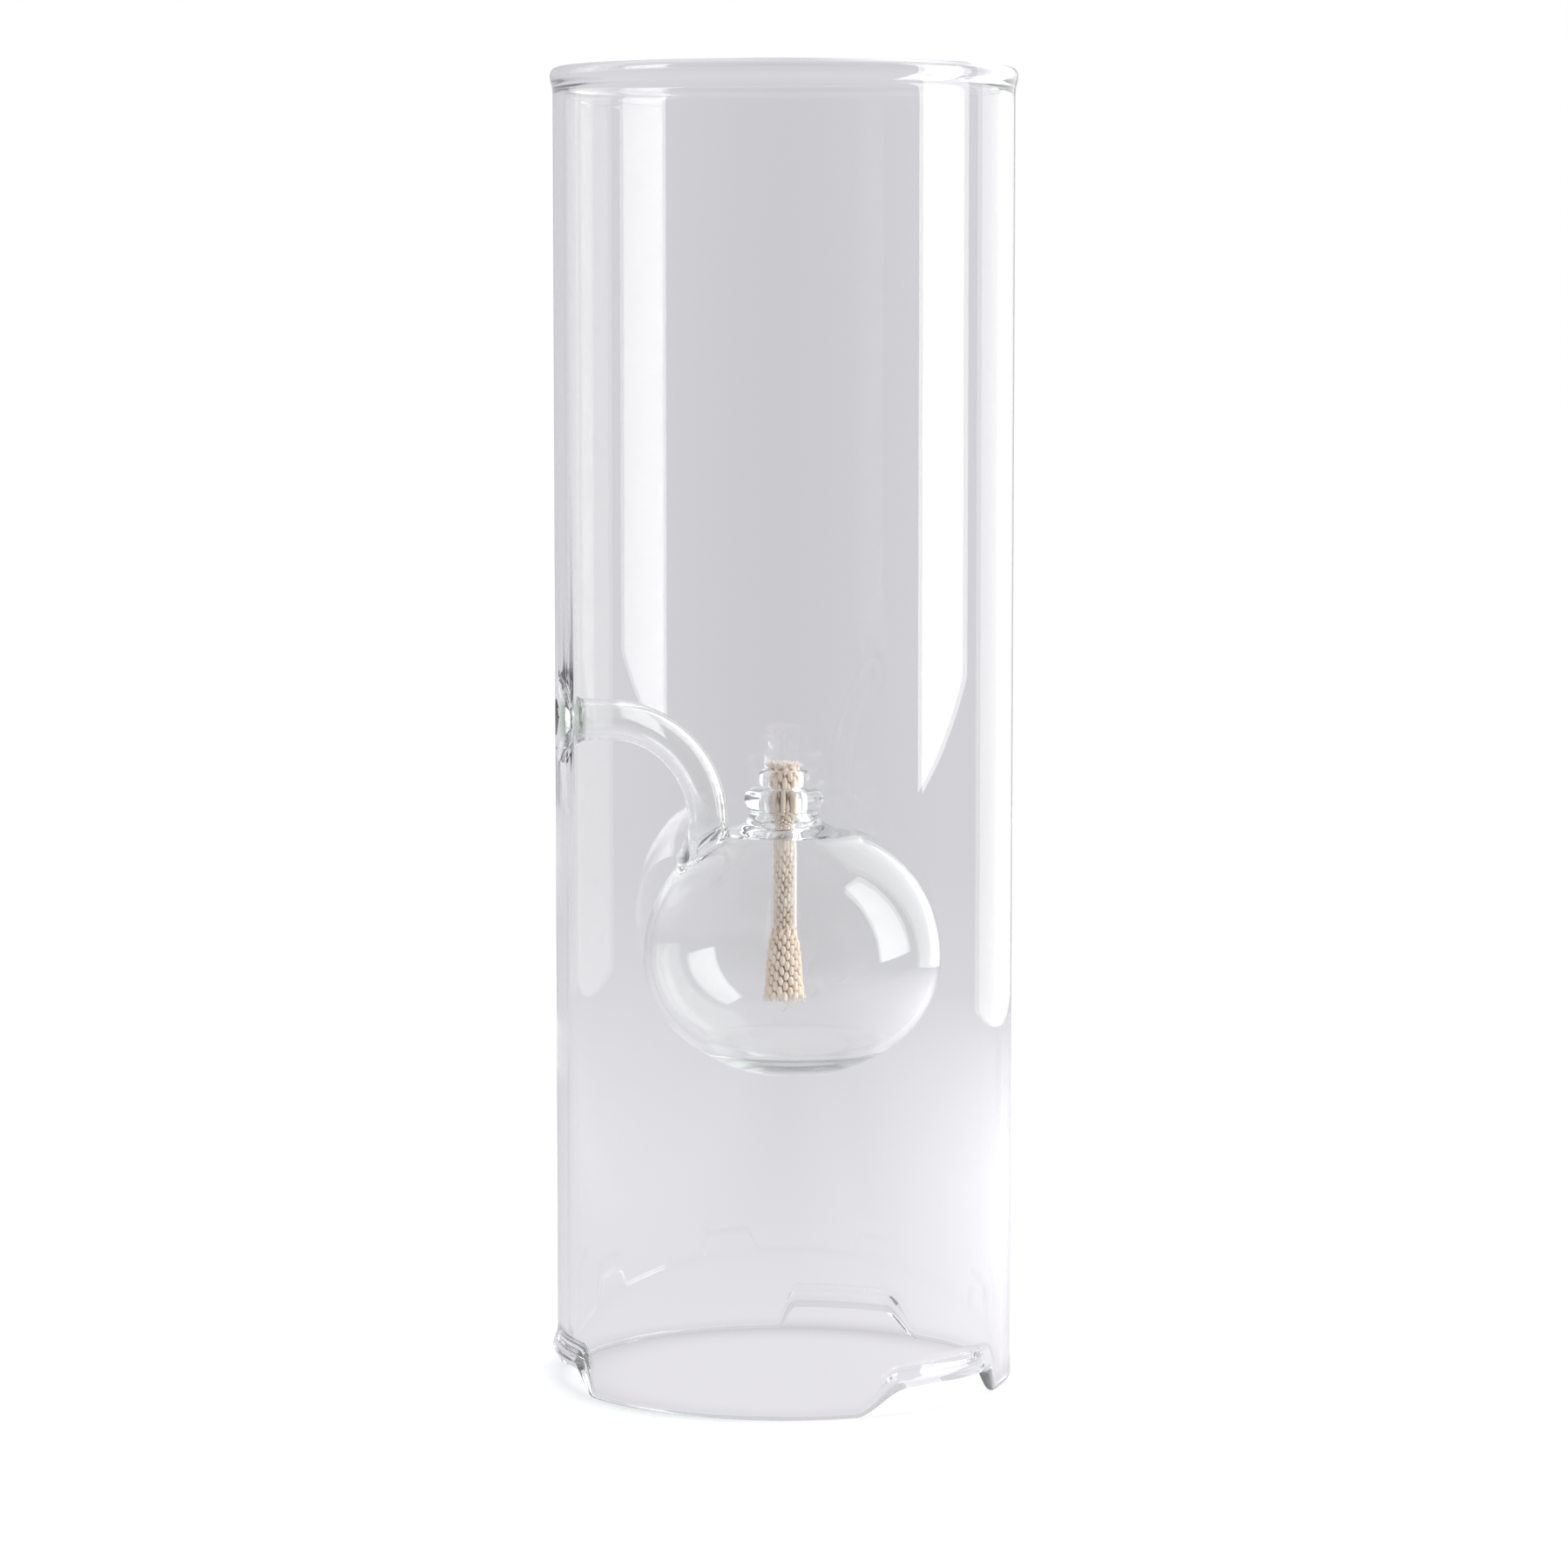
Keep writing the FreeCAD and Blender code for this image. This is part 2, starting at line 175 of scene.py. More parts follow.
class NodeShop:
    """Adds nodes of any type to one node tree and links them."""

    def __init__(self, tree: bpy.types.NodeTree) -> None:
        """Empty the tree and keep it.

        Args:
            tree: the tree to fill.
        """
        self.tree = tree
        tree.nodes.clear()

    def node(
        self, kind: str, settings: dict[str, object] | None = None, inputs: dict | None = None
    ) -> Made:
        """Add one node.

        Args:
            kind: the node's type name.
            settings: attributes set on the node first; "stops" fills a colour ramp.
            inputs: values or wires for its sockets, by name or number.

        Returns:
            The node that was added.
        """
        node = self.tree.nodes.new(kind)
        for name, value in (settings or {}).items():
            if name == "stops":
                self._fill_ramp(node, value)
            else:
                setattr(node, name, value)
        for name, value in (inputs or {}).items():
            self.feed(node.inputs[name], value)
        return Made(self, node)

    def feed(self, socket: bpy.types.NodeSocket, value: object) -> None:
        """Set a socket to a value, or link a wire to it."""
        if isinstance(value, Wire):
            self.tree.links.new(value.socket, socket)
        else:
            socket.default_value = value

    @staticmethod
    def _fill_ramp(node: bpy.types.Node, stops: list[tuple[float, tuple]]) -> None:
        """Give a colour ramp its stops."""
        elements = node.color_ramp.elements
        while len(elements) > 1:
            elements.remove(elements[-1])
        elements[0].position, elements[0].color = stops[0]
        for place, colour in stops[1:]:
            elements.new(place).color = colour


def new_material(name: str) -> tuple[bpy.types.Material, NodeShop]:
    """Make an empty node material.

    Args:
        name: the material's name.

    Returns:
        The material and the builder of its tree.
    """
    material = bpy.data.materials.new(name)
    material.use_nodes = True
    return material, NodeShop(material.node_tree)


# ---------------------------------------------------------------- finishes


@dataclass(frozen=True)
class ClearGlass:
    """Fire-polished borosilicate glass with faint draw lines and a breath of green in its depth.

    Light that has bounced many times inside the glass is let through, more so in the places named
    here, because the renderer would otherwise end it as black. Places are in metres.
    """

    name: str = "clear_glass"
    tint: tuple[float, float, float] = (0.99, 0.994, 0.99)
    depth_tint: tuple[float, float, float] = (0.77, 0.83, 0.77)
    depth_density: float = 10.0
    ior: float = 1.473
    draw_line_scale: float = 90.0
    draw_line_strength: float = 0.02
    lamp_share: float = 0.9
    clear_share: float = 0.25
    # Painted shade: the dark green of the filler's throat, painted into the glass's colour.
    mouth_painted_shade: tuple[float, float, float] = (0.20, 0.40, 0.22)
    mouth_reach: float = 4.2 * MM
    base_height: float = 0.058
    base_reach: float = 0.006
    foot_height: float = 0.007
    foot_side: float = 0.024
    shoulder_height: float = 0.091
    shoulder_reach: float = 0.010
    funnel_height: float = 0.1166
    funnel_side: float = 0.028
    mirror_limit: int = 3
    pass_limit: int = 9

    def material(self) -> bpy.types.Material:
        """Build the glass.

        Returns:
            The finished material.
        """
        material, shop = new_material(self.name)
        place = shop.node("ShaderNodeTexCoord").out("Object")
        stretched = shop.node("ShaderNodeMapping", None, {"Vector": place, "Scale": (1.0, 1.0, 0.06)}).out()
        lines = shop.node(
            "ShaderNodeTexNoise", None,
            {"Vector": stretched, "Scale": self.draw_line_scale, "Detail": 2.0, "Roughness": 0.4},
        ).out(0)
        bump = shop.node(
            "ShaderNodeBump", None,
            {"Height": lines, "Strength": self.draw_line_strength, "Distance": 0.4 * MM},
        ).out()
        seeds = shop.node("ShaderNodeTexNoise", None, {"Vector": place, "Scale": 35.0, "Detail": 3.0}).out(0)
        haze = (seeds - 0.62).clamped() * 0.12
        glass = shop.node("ShaderNodeBsdfPrincipled", None, {
            "Base Color": self.tone(shop, place),
            "Roughness": haze,
            "IOR": self.ior,
            "Transmission Weight": 1.0,
            "Normal": bump,
        }).out()
        path = shop.node("ShaderNodeLightPath")
        lamp = (path.out("Is Shadow Ray") + path.out("Is Diffuse Ray")).clamped() * self.lamp_share
        height = shop.node("ShaderNodeSeparateXYZ", None, {0: place}).out("Z")
        in_base = (1 - (height - self.base_height).absolute() / self.base_reach).clamped() * 2
        side = shop.node("ShaderNodeSeparateXYZ", None, {0: place}).out("X")
        in_foot = (1 - height / self.foot_height).clamped() * ((side - self.foot_side) / 0.006).clamped() * 0.6
        in_shoulder = (1 - (height - self.shoulder_height).absolute() / self.shoulder_reach).clamped() * 1.4
        by_funnel = (1 - (height - self.funnel_height).absolute() / 0.010).clamped()
        in_funnel = by_funnel * (-self.funnel_side - side).clamped() * 60
        mirrored = (path.out("Glossy Depth") - self.mirror_limit).clamped()
        passed = (path.out("Transmission Depth") - self.pass_limit).clamped()
        share = (self.clear_share + in_base + in_foot + in_shoulder - in_funnel).clamped()
        trapped = (mirrored + passed).clamped() * share
        clear = shop.node("ShaderNodeBsdfTransparent", None, {"Color": (0.97, 0.98, 0.975, 1.0)}).out()
        mixed = shop.node("ShaderNodeMixShader", None, {0: (lamp + trapped).clamped(), 1: glass, 2: clear}).out()
        depth = shop.node("ShaderNodeVolumeAbsorption", None, {
            "Color": (*self.depth_tint, 1.0), "Density": self.depth_density,
        }).out()
        shop.node("ShaderNodeOutputMaterial", None, {"Surface": mixed, "Volume": depth})
        return material

    def tone(self, shop: NodeShop, place: Wire) -> Wire:
        """The glass's colour: nearly clear, but with a dark bottle-green shade painted down the throat of the
        filler's mouth.

        Args:
            shop: the material's node shop.
            place: the shaded point.

        Returns:
            The colour.
        """
        low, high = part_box("filler_funnel")
        axis = shop.node("ShaderNodeVectorMath", {"operation": "SUBTRACT"},
                         {0: place, 1: (0.0, (low.y + high.y) / 2, (low.z + high.z) / 2)}).out()
        off_axis = shop.node("ShaderNodeVectorMath", {"operation": "MULTIPLY"},
                             {0: axis, 1: (0.0, 1.0, 1.0)}).out()
        reach = shop.node("ShaderNodeVectorMath", {"operation": "LENGTH"}, {0: off_axis}).out("Value")
        side = shop.node("ShaderNodeSeparateXYZ", None, {0: place}).out("X")
        # Painted shade: where the mix turns to the dark green down the mouth's throat.
        in_mouth = ((1 - reach / self.mouth_reach) * 3).clamped() * ((high.x - side) / (3 * MM)).clamped()
        return shop.node("ShaderNodeMix", {"data_type": "RGBA"}, {
            0: in_mouth, 6: (*self.tint, 1.0), 7: (*self.mouth_painted_shade, 1.0),
        }).out(2)


@dataclass(frozen=True)
class CottonYarn:
    """Unbleached cotton yarn: cream, matt and softly fibrous."""

    name: str = "cotton_yarn"
    light: tuple[float, float, float] = (0.99, 0.84, 0.71)
    dark: tuple[float, float, float] = (0.85, 0.65, 0.50)
    fibre_scale: float = 2600.0
    fibre_strength: float = 0.5

    def material(self) -> bpy.types.Material:
        """Build the yarn.

        Returns:
            The finished material.
        """
        material, shop = new_material(self.name)
        place = shop.node("ShaderNodeTexCoord").out("Object")
        along = shop.node("ShaderNodeMapping", None, {"Vector": place, "Scale": (1.0, 1.0, 0.22)}).out()
        fibres = shop.node(
            "ShaderNodeTexNoise", None, {"Vector": along, "Scale": self.fibre_scale, "Detail": 3.0}
        ).out(0)
        patches = shop.node("ShaderNodeTexNoise", None, {"Vector": place, "Scale": 420.0, "Detail": 2.0}).out(0)
        flecks = (fibres * 0.45 + patches * 0.75 - 0.1).clamped()
        tone = shop.node("ShaderNodeValToRGB", {
            "stops": [(0.25, (*self.dark, 1.0)), (0.55, (*self.light, 1.0)), (0.9, (0.98, 0.89, 0.79, 1.0))],
        }, {0: flecks}).out()
        bump = shop.node(
            "ShaderNodeBump", None,
            {"Height": fibres, "Strength": self.fibre_strength, "Distance": 0.08 * MM},
        ).out()
        cloth = shop.node("ShaderNodeBsdfPrincipled", None, {
            "Base Color": tone,
            "Roughness": 0.78 + 0.2 * fibres,
            "Specular IOR Level": 0.25,
            "Sheen Weight": 0.35,
            "Sheen Roughness": 0.5,
            "Normal": bump,
        }).out()
        shop.node("ShaderNodeOutputMaterial", None, {"Surface": cloth})
        return material


# ---------------------------------------------------------------- mesh work


def arc(centre: Point, radius: float, start: float, stop: float, steps: int) -> list[Point]:
    """Points along a round arc.

    Args:
        centre: the arc's centre.
        radius: its radius.
        start: the first angle, in degrees.
        stop: the last angle, in degrees.
        steps: how many stretches it is divided into.

    Returns:
        The points, both ends included.
    """
    angles = [math.radians(start + (stop - start) * i / steps) for i in range(steps + 1)]
    return [(centre[0] + radius * math.cos(a), centre[1] + radius * math.sin(a)) for a in angles]


def bezier(points: list[Point], steps: int) -> list[Point]:
    """Points along a cubic curve.

    Args:
        points: its four control points.
        steps: how many stretches it is divided into.

    Returns:
        The points, both ends included.
    """
    result = []
    for i in range(steps + 1):
        t = i / steps
        weights = ((1 - t) ** 3, 3 * t * (1 - t) ** 2, 3 * t * t * (1 - t), t ** 3)
        result.append(tuple(sum(w * p[k] for w, p in zip(weights, points)) for k in (0, 1)))
    return result


def smooth(value: float) -> float:
    """A soft step from 0 to 1 as value goes from 0 to 1."""
    t = min(max(value, 0.0), 1.0)
    return t * t * (3 - 2 * t)


def without_doubles(points: list[Point], gap: float = 0.01) -> list[Point]:
    """The points, less each one that is nearly on the one before it."""
    kept = [points[0]]
    for point in points[1:]:
        if math.dist(point, kept[-1]) > gap:
            kept.append(point)
    return kept


def mesh_object(name: str, bm: bmesh.types.BMesh, is_smooth: bool = True) -> bpy.types.Object:
    """Turn a bmesh in millimetres into an object in metres, with its faces outwards.

    Args:
        name: the object's name.
        bm: the mesh, which is freed.
        is_smooth: whether its faces are shaded smooth.

    Returns:
        The new object, linked to the scene.
    """
    bmesh.ops.recalc_face_normals(bm, faces=bm.faces)
    bmesh.ops.scale(bm, vec=(MM, MM, MM), verts=bm.verts)
    for face in bm.faces:
        face.smooth = is_smooth
    mesh = bpy.data.meshes.new(name)
    bm.to_mesh(mesh)
    bm.free()
    made = bpy.data.objects.new(name, mesh)
    bpy.context.scene.collection.objects.link(made)
    return made


def skin_rings(bm: bmesh.types.BMesh, rings: list[list[Vector]], closed: bool) -> None:
    """Join rings of points with four-sided faces; a ring of one point is a pole.

    Args:
        bm: the mesh to add to.
        rings: the rings, in order.
        closed: whether the last ring joins the first.
    """
    made = [[bm.verts.new(place) for place in ring] for ring in rings]
    pairs = list(zip(made, made[1:])) + ([(made[-1], made[0])] if closed else [])
    for low, high in pairs:
        count = max(len(low), len(high))
        for i in range(count):
            j = (i + 1) % count
            corners = []
            for corner in (low[i % len(low)], low[j % len(low)], high[j % len(high)], high[i % len(high)]):
                if corner not in corners:
                    corners.append(corner)
            bm.faces.new(corners)


def turned(profile: list[Point], segments: int, closed: bool) -> bmesh.types.BMesh:
    """Turn a profile of (radius, height) about the vertical axis.

    Args:
        profile: the points; a radius of 0 is a pole.
        segments: how many faces go round.
        closed: whether the profile is a loop.

    Returns:
        The mesh, in the profile's unit.
    """
    bm = bmesh.new()
    rings = []
    for radius, height in profile:
        if radius < 1e-6:
            rings.append([Vector((0, 0, height))])
            continue
        angles = [2 * math.pi * i / segments for i in range(segments)]
        rings.append([Vector((radius * math.cos(a), radius * math.sin(a), height)) for a in angles])
    skin_rings(bm, rings, closed)
    return bm


class Work(Enum):
    """What a boolean does with its tool."""

    MELT_ON = "UNION"
    CUT_AWAY = "DIFFERENCE"


def combine(base: bpy.types.Object, tool: bpy.types.Object, work: Work) -> None:
    """Apply an exact boolean to base and remove the tool.

    Args:
        base: the object that is changed.
        tool: the object that is added or taken away.
        work: whether the tool is melted on or cut away.
    """
    modifier = base.modifiers.new("combine", "BOOLEAN")
    modifier.operation = work.value
    modifier.solver = "EXACT"
    modifier.object = tool
    graph = bpy.context.evaluated_depsgraph_get()
    result = bpy.data.meshes.new_from_object(base.evaluated_get(graph))
    base.modifiers.remove(modifier)
    base.data = result
    bpy.data.objects.remove(tool)


# ---------------------------------------------------------------- the glass body


@dataclass(frozen=True)
class Notch:
    """One air notch in the foot: the angles where its edge leaves the floor, levels out, dips and lands."""

    start: float
    rise: float
    fall: float
    stop: float

    def share(self, angle: float) -> float:
        """How far the edge is raised at an angle, from 0 on the floor to 1 along the notch's top."""
        if not self.start < angle < self.stop:
            return 0.0
        up = smooth((angle - self.start) / (self.rise - self.start))
        down = smooth((self.stop - angle) / (self.stop - self.fall))
        return min(up, down)


@dataclass
class Chimney:
    """The tall glass tube, in millimetres: rim, foot and air notches."""

    out: float = 40.0
    wall: float = 1.9
    rim_height: float = 3.5
    rim_out: float = 0.5
    rim_in: float = 0.6
    notches: tuple[Notch, ...] = (
        Notch(38.5, 49.5, 74.5, 80.0), Notch(158.0, 168.5, 195.0, 201.5), Notch(276.0, 289.5, 319.0, 325.5),
    )
    notch_height: float = 4.1
    notch_bead: float = 0.8
    fade_height: float = 14.0
    height: float = field(init=False)

    def __post_init__(self) -> None:
        """Take the height from the frame."""
        self.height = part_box("chimney")[1].z / MM

    def profile(self, bead: float) -> list[Point]:
        """The wall's section as a closed loop of (radius, height), foot first.

        Args:
            bead: how far the foot's melted edge stands out from the wall on each side.

        Returns:
            The loop, with the same number of points whatever the bead.
        """
        inside = self.out - self.wall
        middle = (self.out + inside) / 2
        foot = self.wall / 2 + bead
        top = self.height
        lip_out = self.out + self.rim_out
        lip_in = inside - self.rim_in
        rim_middle = (lip_out + lip_in) / 2
        half = (lip_out - lip_in) / 2
        low = top - self.rim_height
        fades = ((1.25, 0.96), (1.6, 0.82), (2.0, 0.6), (2.5, 0.34), (3.1, 0.13), (3.8, 0.0))
        rise = (8.0, self.fade_height, 22.0, 40.0, 70.0, 100.0, 125.0, 160.0, 200.0, low - 8, low - 3)
        points = arc((middle, foot), foot, -90, 0, 8)
        points += [(self.out + bead * share, foot * up) for up, share in fades]
        points += [(self.out, z) for z in rise]
        points += bezier([(self.out, low - 1.2), (self.out, low + 0.6), (lip_out, low + 0.9),
                          (lip_out, top - half)], 8)
        points += arc((rim_middle, top - half), half, 10, 170, 14)
        points += bezier([(lip_in, top - half), (lip_in, low + 0.9), (inside, low + 0.6),
                          (inside, low - 1.2)], 8)
        points += [(inside, z) for z in reversed(rise)]
        points += [(inside - bead * share, foot * up) for up, share in reversed(fades)]
        points += arc((middle, foot), foot, 180, 262, 8)
        return points

    def angles(self) -> list[float]:
        """Angles round the tube, closer together at the ends of the notches, in degrees."""
        marks = {round(i * 1.5, 3) for i in range(240)}
        for notch in self.notches:
            for low, high in ((notch.start, notch.rise), (notch.fall, notch.stop)):
                steps = int((high - low + 2) / 0.35)
                marks |= {round(low - 1 + (high - low + 2) * i / steps, 3) for i in range(steps + 1)}
        ordered = sorted(marks)
        return [a for a, b in zip(ordered, ordered[1:] + [ordered[0] + 360]) if b - a > 0.08]

    def build(self) -> bpy.types.Object:
        """Make the tube with its rim, foot and notches.

        Returns:
            The tube as a closed mesh object.
        """
        columns = []
        for angle in self.angles():
            share = max(notch.share(angle) for notch in self.notches)
            outward = Vector((math.cos(math.radians(angle)), math.sin(math.radians(angle)), 0))
            columns.append([
                outward * radius + Vector((0, 0, height + self.lift(share, height)))
                for radius, height in self.profile(self.notch_bead * share)
            ])
        bm = bmesh.new()
        skin_rings(bm, [list(ring) for ring in zip(*columns)], True)
        return mesh_object("chimney_tube", bm)

    def lift(self, share: float, height: float) -> float:
        """How far a notch lifts a point that stands at a height over the edge."""
        return self.notch_height * share * (1 - smooth(height / self.fade_height))


@dataclass
class FeedArm:
    """The filling funnel and the hollow arm, in millimetres."""

    arm_out: float = 3.5
    bore: float = 2.5
    level: float = 116.6
    bend: float = 18.0
    drop: float = 13.6
    weld: float = 34.9
    weld_swell: float = 0.15
    flange: float = 7.35
    flange_end: float = 39.0
    flare_start: float = 37.5
    mouth: float = 6.6
    mouth_depth: float = 2.6
    wall_out: float = 40.0
    collar: float = 5.4
    collar_top: float = 98.5
    collar_low: float = 92.5
    end: float = 86.0
    segments: int = 64

    def route(self, first: float) -> list[tuple[Vector, Vector]]:
        """Places and directions along the arm's centre line.

        Args:
            first: how far from the axis the line begins.

        Returns:
            Pairs of a place and the direction there.
        """
        turn = self.drop + self.bend
        level = [first + (turn - first) * (i / 40) for i in range(40)]
        line = [(Vector((-x, 0, self.level)), Vector((1, 0, 0))) for x in level]
        for i in range(49):
            a = math.radians(90 * i / 48)
            place = Vector((-turn + self.bend * math.sin(a), 0, self.level - self.bend * (1 - math.cos(a))))
            line.append((place, Vector((math.cos(a), 0, -math.sin(a)))))
        bottom = self.level - self.bend
        for i in range(1, 31):
            line.append((Vector((-self.drop, 0, bottom + (self.end - bottom) * i / 30)), Vector((0, 0, -1))))
        return line

    def outer_radius(self, place: Vector) -> float:
        """The glass's outer radius where the centre line is at place."""
        x, z = -place.x, place.z
        if x > self.weld:
            t = (x - self.weld) / (self.flare_start - self.weld)
            grown = 1 - math.sqrt(max(0.0, 1 - min(t, 1.0) ** 2))
            return self.arm_out + self.weld_swell + (self.flange - self.arm_out - self.weld_swell) * grown
        if x > self.weld - 1.2:
            return self.arm_out + self.weld_swell * smooth(1 - (self.weld - x) / 1.2)
        if z < self.collar_top:
            t = min((self.collar_top - z) / (self.collar_top - self.collar_low), 1.0)
            return self.arm_out + (self.collar - self.arm_out) * t ** 2.2
        return self.arm_out

    def bore_radius(self, place: Vector) -> float:
        """The bore's radius where the centre line is at place."""
        depth = self.wall_out + place.x
        if depth < self.mouth_depth:
            t = max(0.0, 1 - depth / self.mouth_depth)
            return self.bore + 0.3 * (1 - depth / self.mouth_depth) + (self.mouth - self.bore) * t ** 3.2
        return self.bore

    def swept(self, name: str, first: float, radius: object) -> bpy.types.Object:
        """A closed round solid along the arm's route.

        Args:
            name: the object's name.
            first: how far from the axis it begins.
            radius: the function that gives the radius at a place.

        Returns:
            The solid.
        """
        rings = []
        route = self.route(first)
        for place, along in route:
            side = Vector((0, 1, 0))
            up = along.cross(side)
            size = radius(place)
            turns = [2 * math.pi * i / self.segments for i in range(self.segments)]
            rings.append([place + (side * math.cos(a) + up * math.sin(a)) * size for a in turns])
        rings = [[route[0][0]]] + rings + [[route[-1][0]]]
        bm = bmesh.new()
        skin_rings(bm, rings, False)
        return mesh_object(name, bm)

    def solid(self) -> bpy.types.Object:
        """The arm and funnel without their bore."""
        return self.swept("arm_solid", self.flange_end, self.outer_radius)

    def hollow(self) -> bpy.types.Object:
        """The bore with the funnel's mouth, as the solid that is taken away."""
        return self.swept("arm_bore", self.wall_out + 1.0, self.bore_radius)


@dataclass
class Reservoir:
    """The blown bowl and its neck, in millimetres."""

    out: float = 26.15
    middle: float = 74.5
    crown: float = 24.8
    flat: float = 22.5
    belly: float = 21.4
    wall: float = 1.2
    top_wall: float = 1.5
    base_glass: float = 4.5
    shift: float = 1.5
    hole: float = 3.95
    bore: float = 3.0
    waist: float = 5.9
    bead: float = 7.0
    bead_round: float = 2.1
    neck_top: float = 104.1
    lip_round: float = 0.8
    skirt: float = 11.4
    segments: int = 172

    @staticmethod
    def oval(wide: float, tall: float, steps: int) -> list[Point]:
        """A quarter oval of two arcs, from its side to its pole.

        Args:
            wide: the half-width.
            tall: the half-height.
            steps: how many stretches each arc has.

        Returns:
            Points from (wide, 0) to (0, tall).
        """
        span = math.hypot(wide, tall)
        side = span * (span - wide + tall) / (2 * wide)
        pole = span * (span + wide - tall) / (2 * tall)
        turn = ((span + wide - tall) / 2, (span - wide + tall) / 2)
        swing = math.degrees(math.atan2(turn[1], turn[0] - (wide - side)))
        first = arc((wide - side, 0), side, 0, swing, steps)
        second = arc((0, tall - pole), pole, swing, 90, steps)
        return without_doubles(first + second)

    def capped(self, wide: float, tall: float, flat: float) -> list[Point]:
        """A quarter oval as far as its flat top."""
        return [point for point in self.oval(wide, tall, 26) if point[1] < flat - 0.05]

    def inside(self) -> list[Point]:
        """The bowl's inner profile from the bottom's pole to the hole under the neck."""
        wide = self.out - self.wall
        base = self.belly - self.base_glass
        side = [point for point in self.oval(wide, self.belly - self.wall, 40) if point[1] < base - 1.6]
        edge = side[-1]
        pool = bezier([(0.0, base + 0.25), (edge[0] - 6.0, base + 0.2), (edge[0] - 1.6, base - 0.2), edge], 24)
        low = [(x, self.middle - y) for x, y in pool[:-1] + side[::-1]]
        high = [(x, self.middle + y) for x, y in self.capped(wide, self.crown - self.top_wall,
                                                            self.flat - self.top_wall)]
        roof = self.middle + self.flat - self.top_wall
        edge = high[-1]
        turn_in = bezier([edge, (edge[0] - 3.0, roof - 0.1), (self.hole + 2.6, roof + 0.2),
                          (self.hole + 0.6, roof)], 8)
        return low + high[1:] + turn_in[1:]

    def outside(self) -> list[Point]:
        """The bowl's outer profile from the skirt's foot to the bottom's pole."""
        high = [(x, self.middle + y) for x, y in self.capped(self.out, self.crown, self.flat - 1.2)]
        low = [(x, self.middle - y) for x, y in self.oval(self.out, self.belly, 26)]
        return list(reversed(high)) + low[1:]

    def neck(self, edge: Point) -> list[Point]:
        """The neck's profile, from the hole under it, over the bead and down to the bowl's crown.

        Args:
            edge: the crown's point that the skirt runs out to.

        Returns:
            The points.
        """
        base = self.middle + self.flat
        roof = base - self.top_wall
        centre = (self.bead - self.bead_round, self.neck_top - self.bead_round)
        under = math.degrees(math.asin((self.waist - centre[0]) / self.bead_round)) - 90
        points = arc((self.hole + 0.6, roof + 0.6), 0.6, 270, 180, 5)
        points += bezier([(self.hole, base - 0.3), (self.hole, base + 0.9), (self.bore, base + 1.2),
                          (self.bore, base + 2.6)], 10)
        lip = self.neck_top - self.lip_round
        points += [(self.bore, base + 3.6), (self.bore, lip - 0.5)]
        points += arc((self.bore + self.lip_round, lip), self.lip_round, 180, 90, 8)
        points += arc(centre, self.bead_round, 90, under, 24)
        low = points[-1]
        points += bezier([low, (self.waist - 0.1, base + 1.7), (self.waist + 1.1, base + 0.55),
                          (self.waist + 3.3, base + 0.12)], 14)
        points += bezier([points[-1], (self.waist + 4.6, base - 0.05), (edge[0] - 1.4, edge[1] + 0.62), edge], 8)
        return points

    def shift_at(self, radius: float, height: float) -> float:
        """How far a ring's centre lies off the neck's axis."""
        top = self.middle + self.flat - self.top_wall - 4.0
        if height < top:
            return self.shift
        return self.shift * smooth((radius - 7.5) / 6.0)

    def build(self) -> bpy.types.Object:
        """Make the bowl and neck as one closed shell.

        Returns:
            The shell.
        """
        outer = self.outside()
        profile = without_doubles(self.inside() + self.neck(outer[0]) + outer[1:])
        rings = []
        for radius, height in profile:
            off = self.shift_at(radius, height)
            if radius < 1e-6:
                rings.append([Vector((off, 0, height))])
                continue
            turns = [2 * math.pi * i / self.segments for i in range(self.segments)]
            rings.append([Vector((off + radius * math.cos(a), radius * math.sin(a), height)) for a in turns])
        bm = bmesh.new()
        skin_rings(bm, rings, False)
        return mesh_object("bowl_shell", bm)

    def hollow(self) -> bpy.types.Object:
        """The space inside the bowl as a closed solid, to trim the arm's end."""
        inner = self.inside()
        profile = inner + [(0.0, inner[-1][1])]
        bm = turned(profile, self.segments, False)
        bmesh.ops.translate(bm, vec=(self.shift, 0, 0), verts=bm.verts)
        return mesh_object("bowl_space", bm)


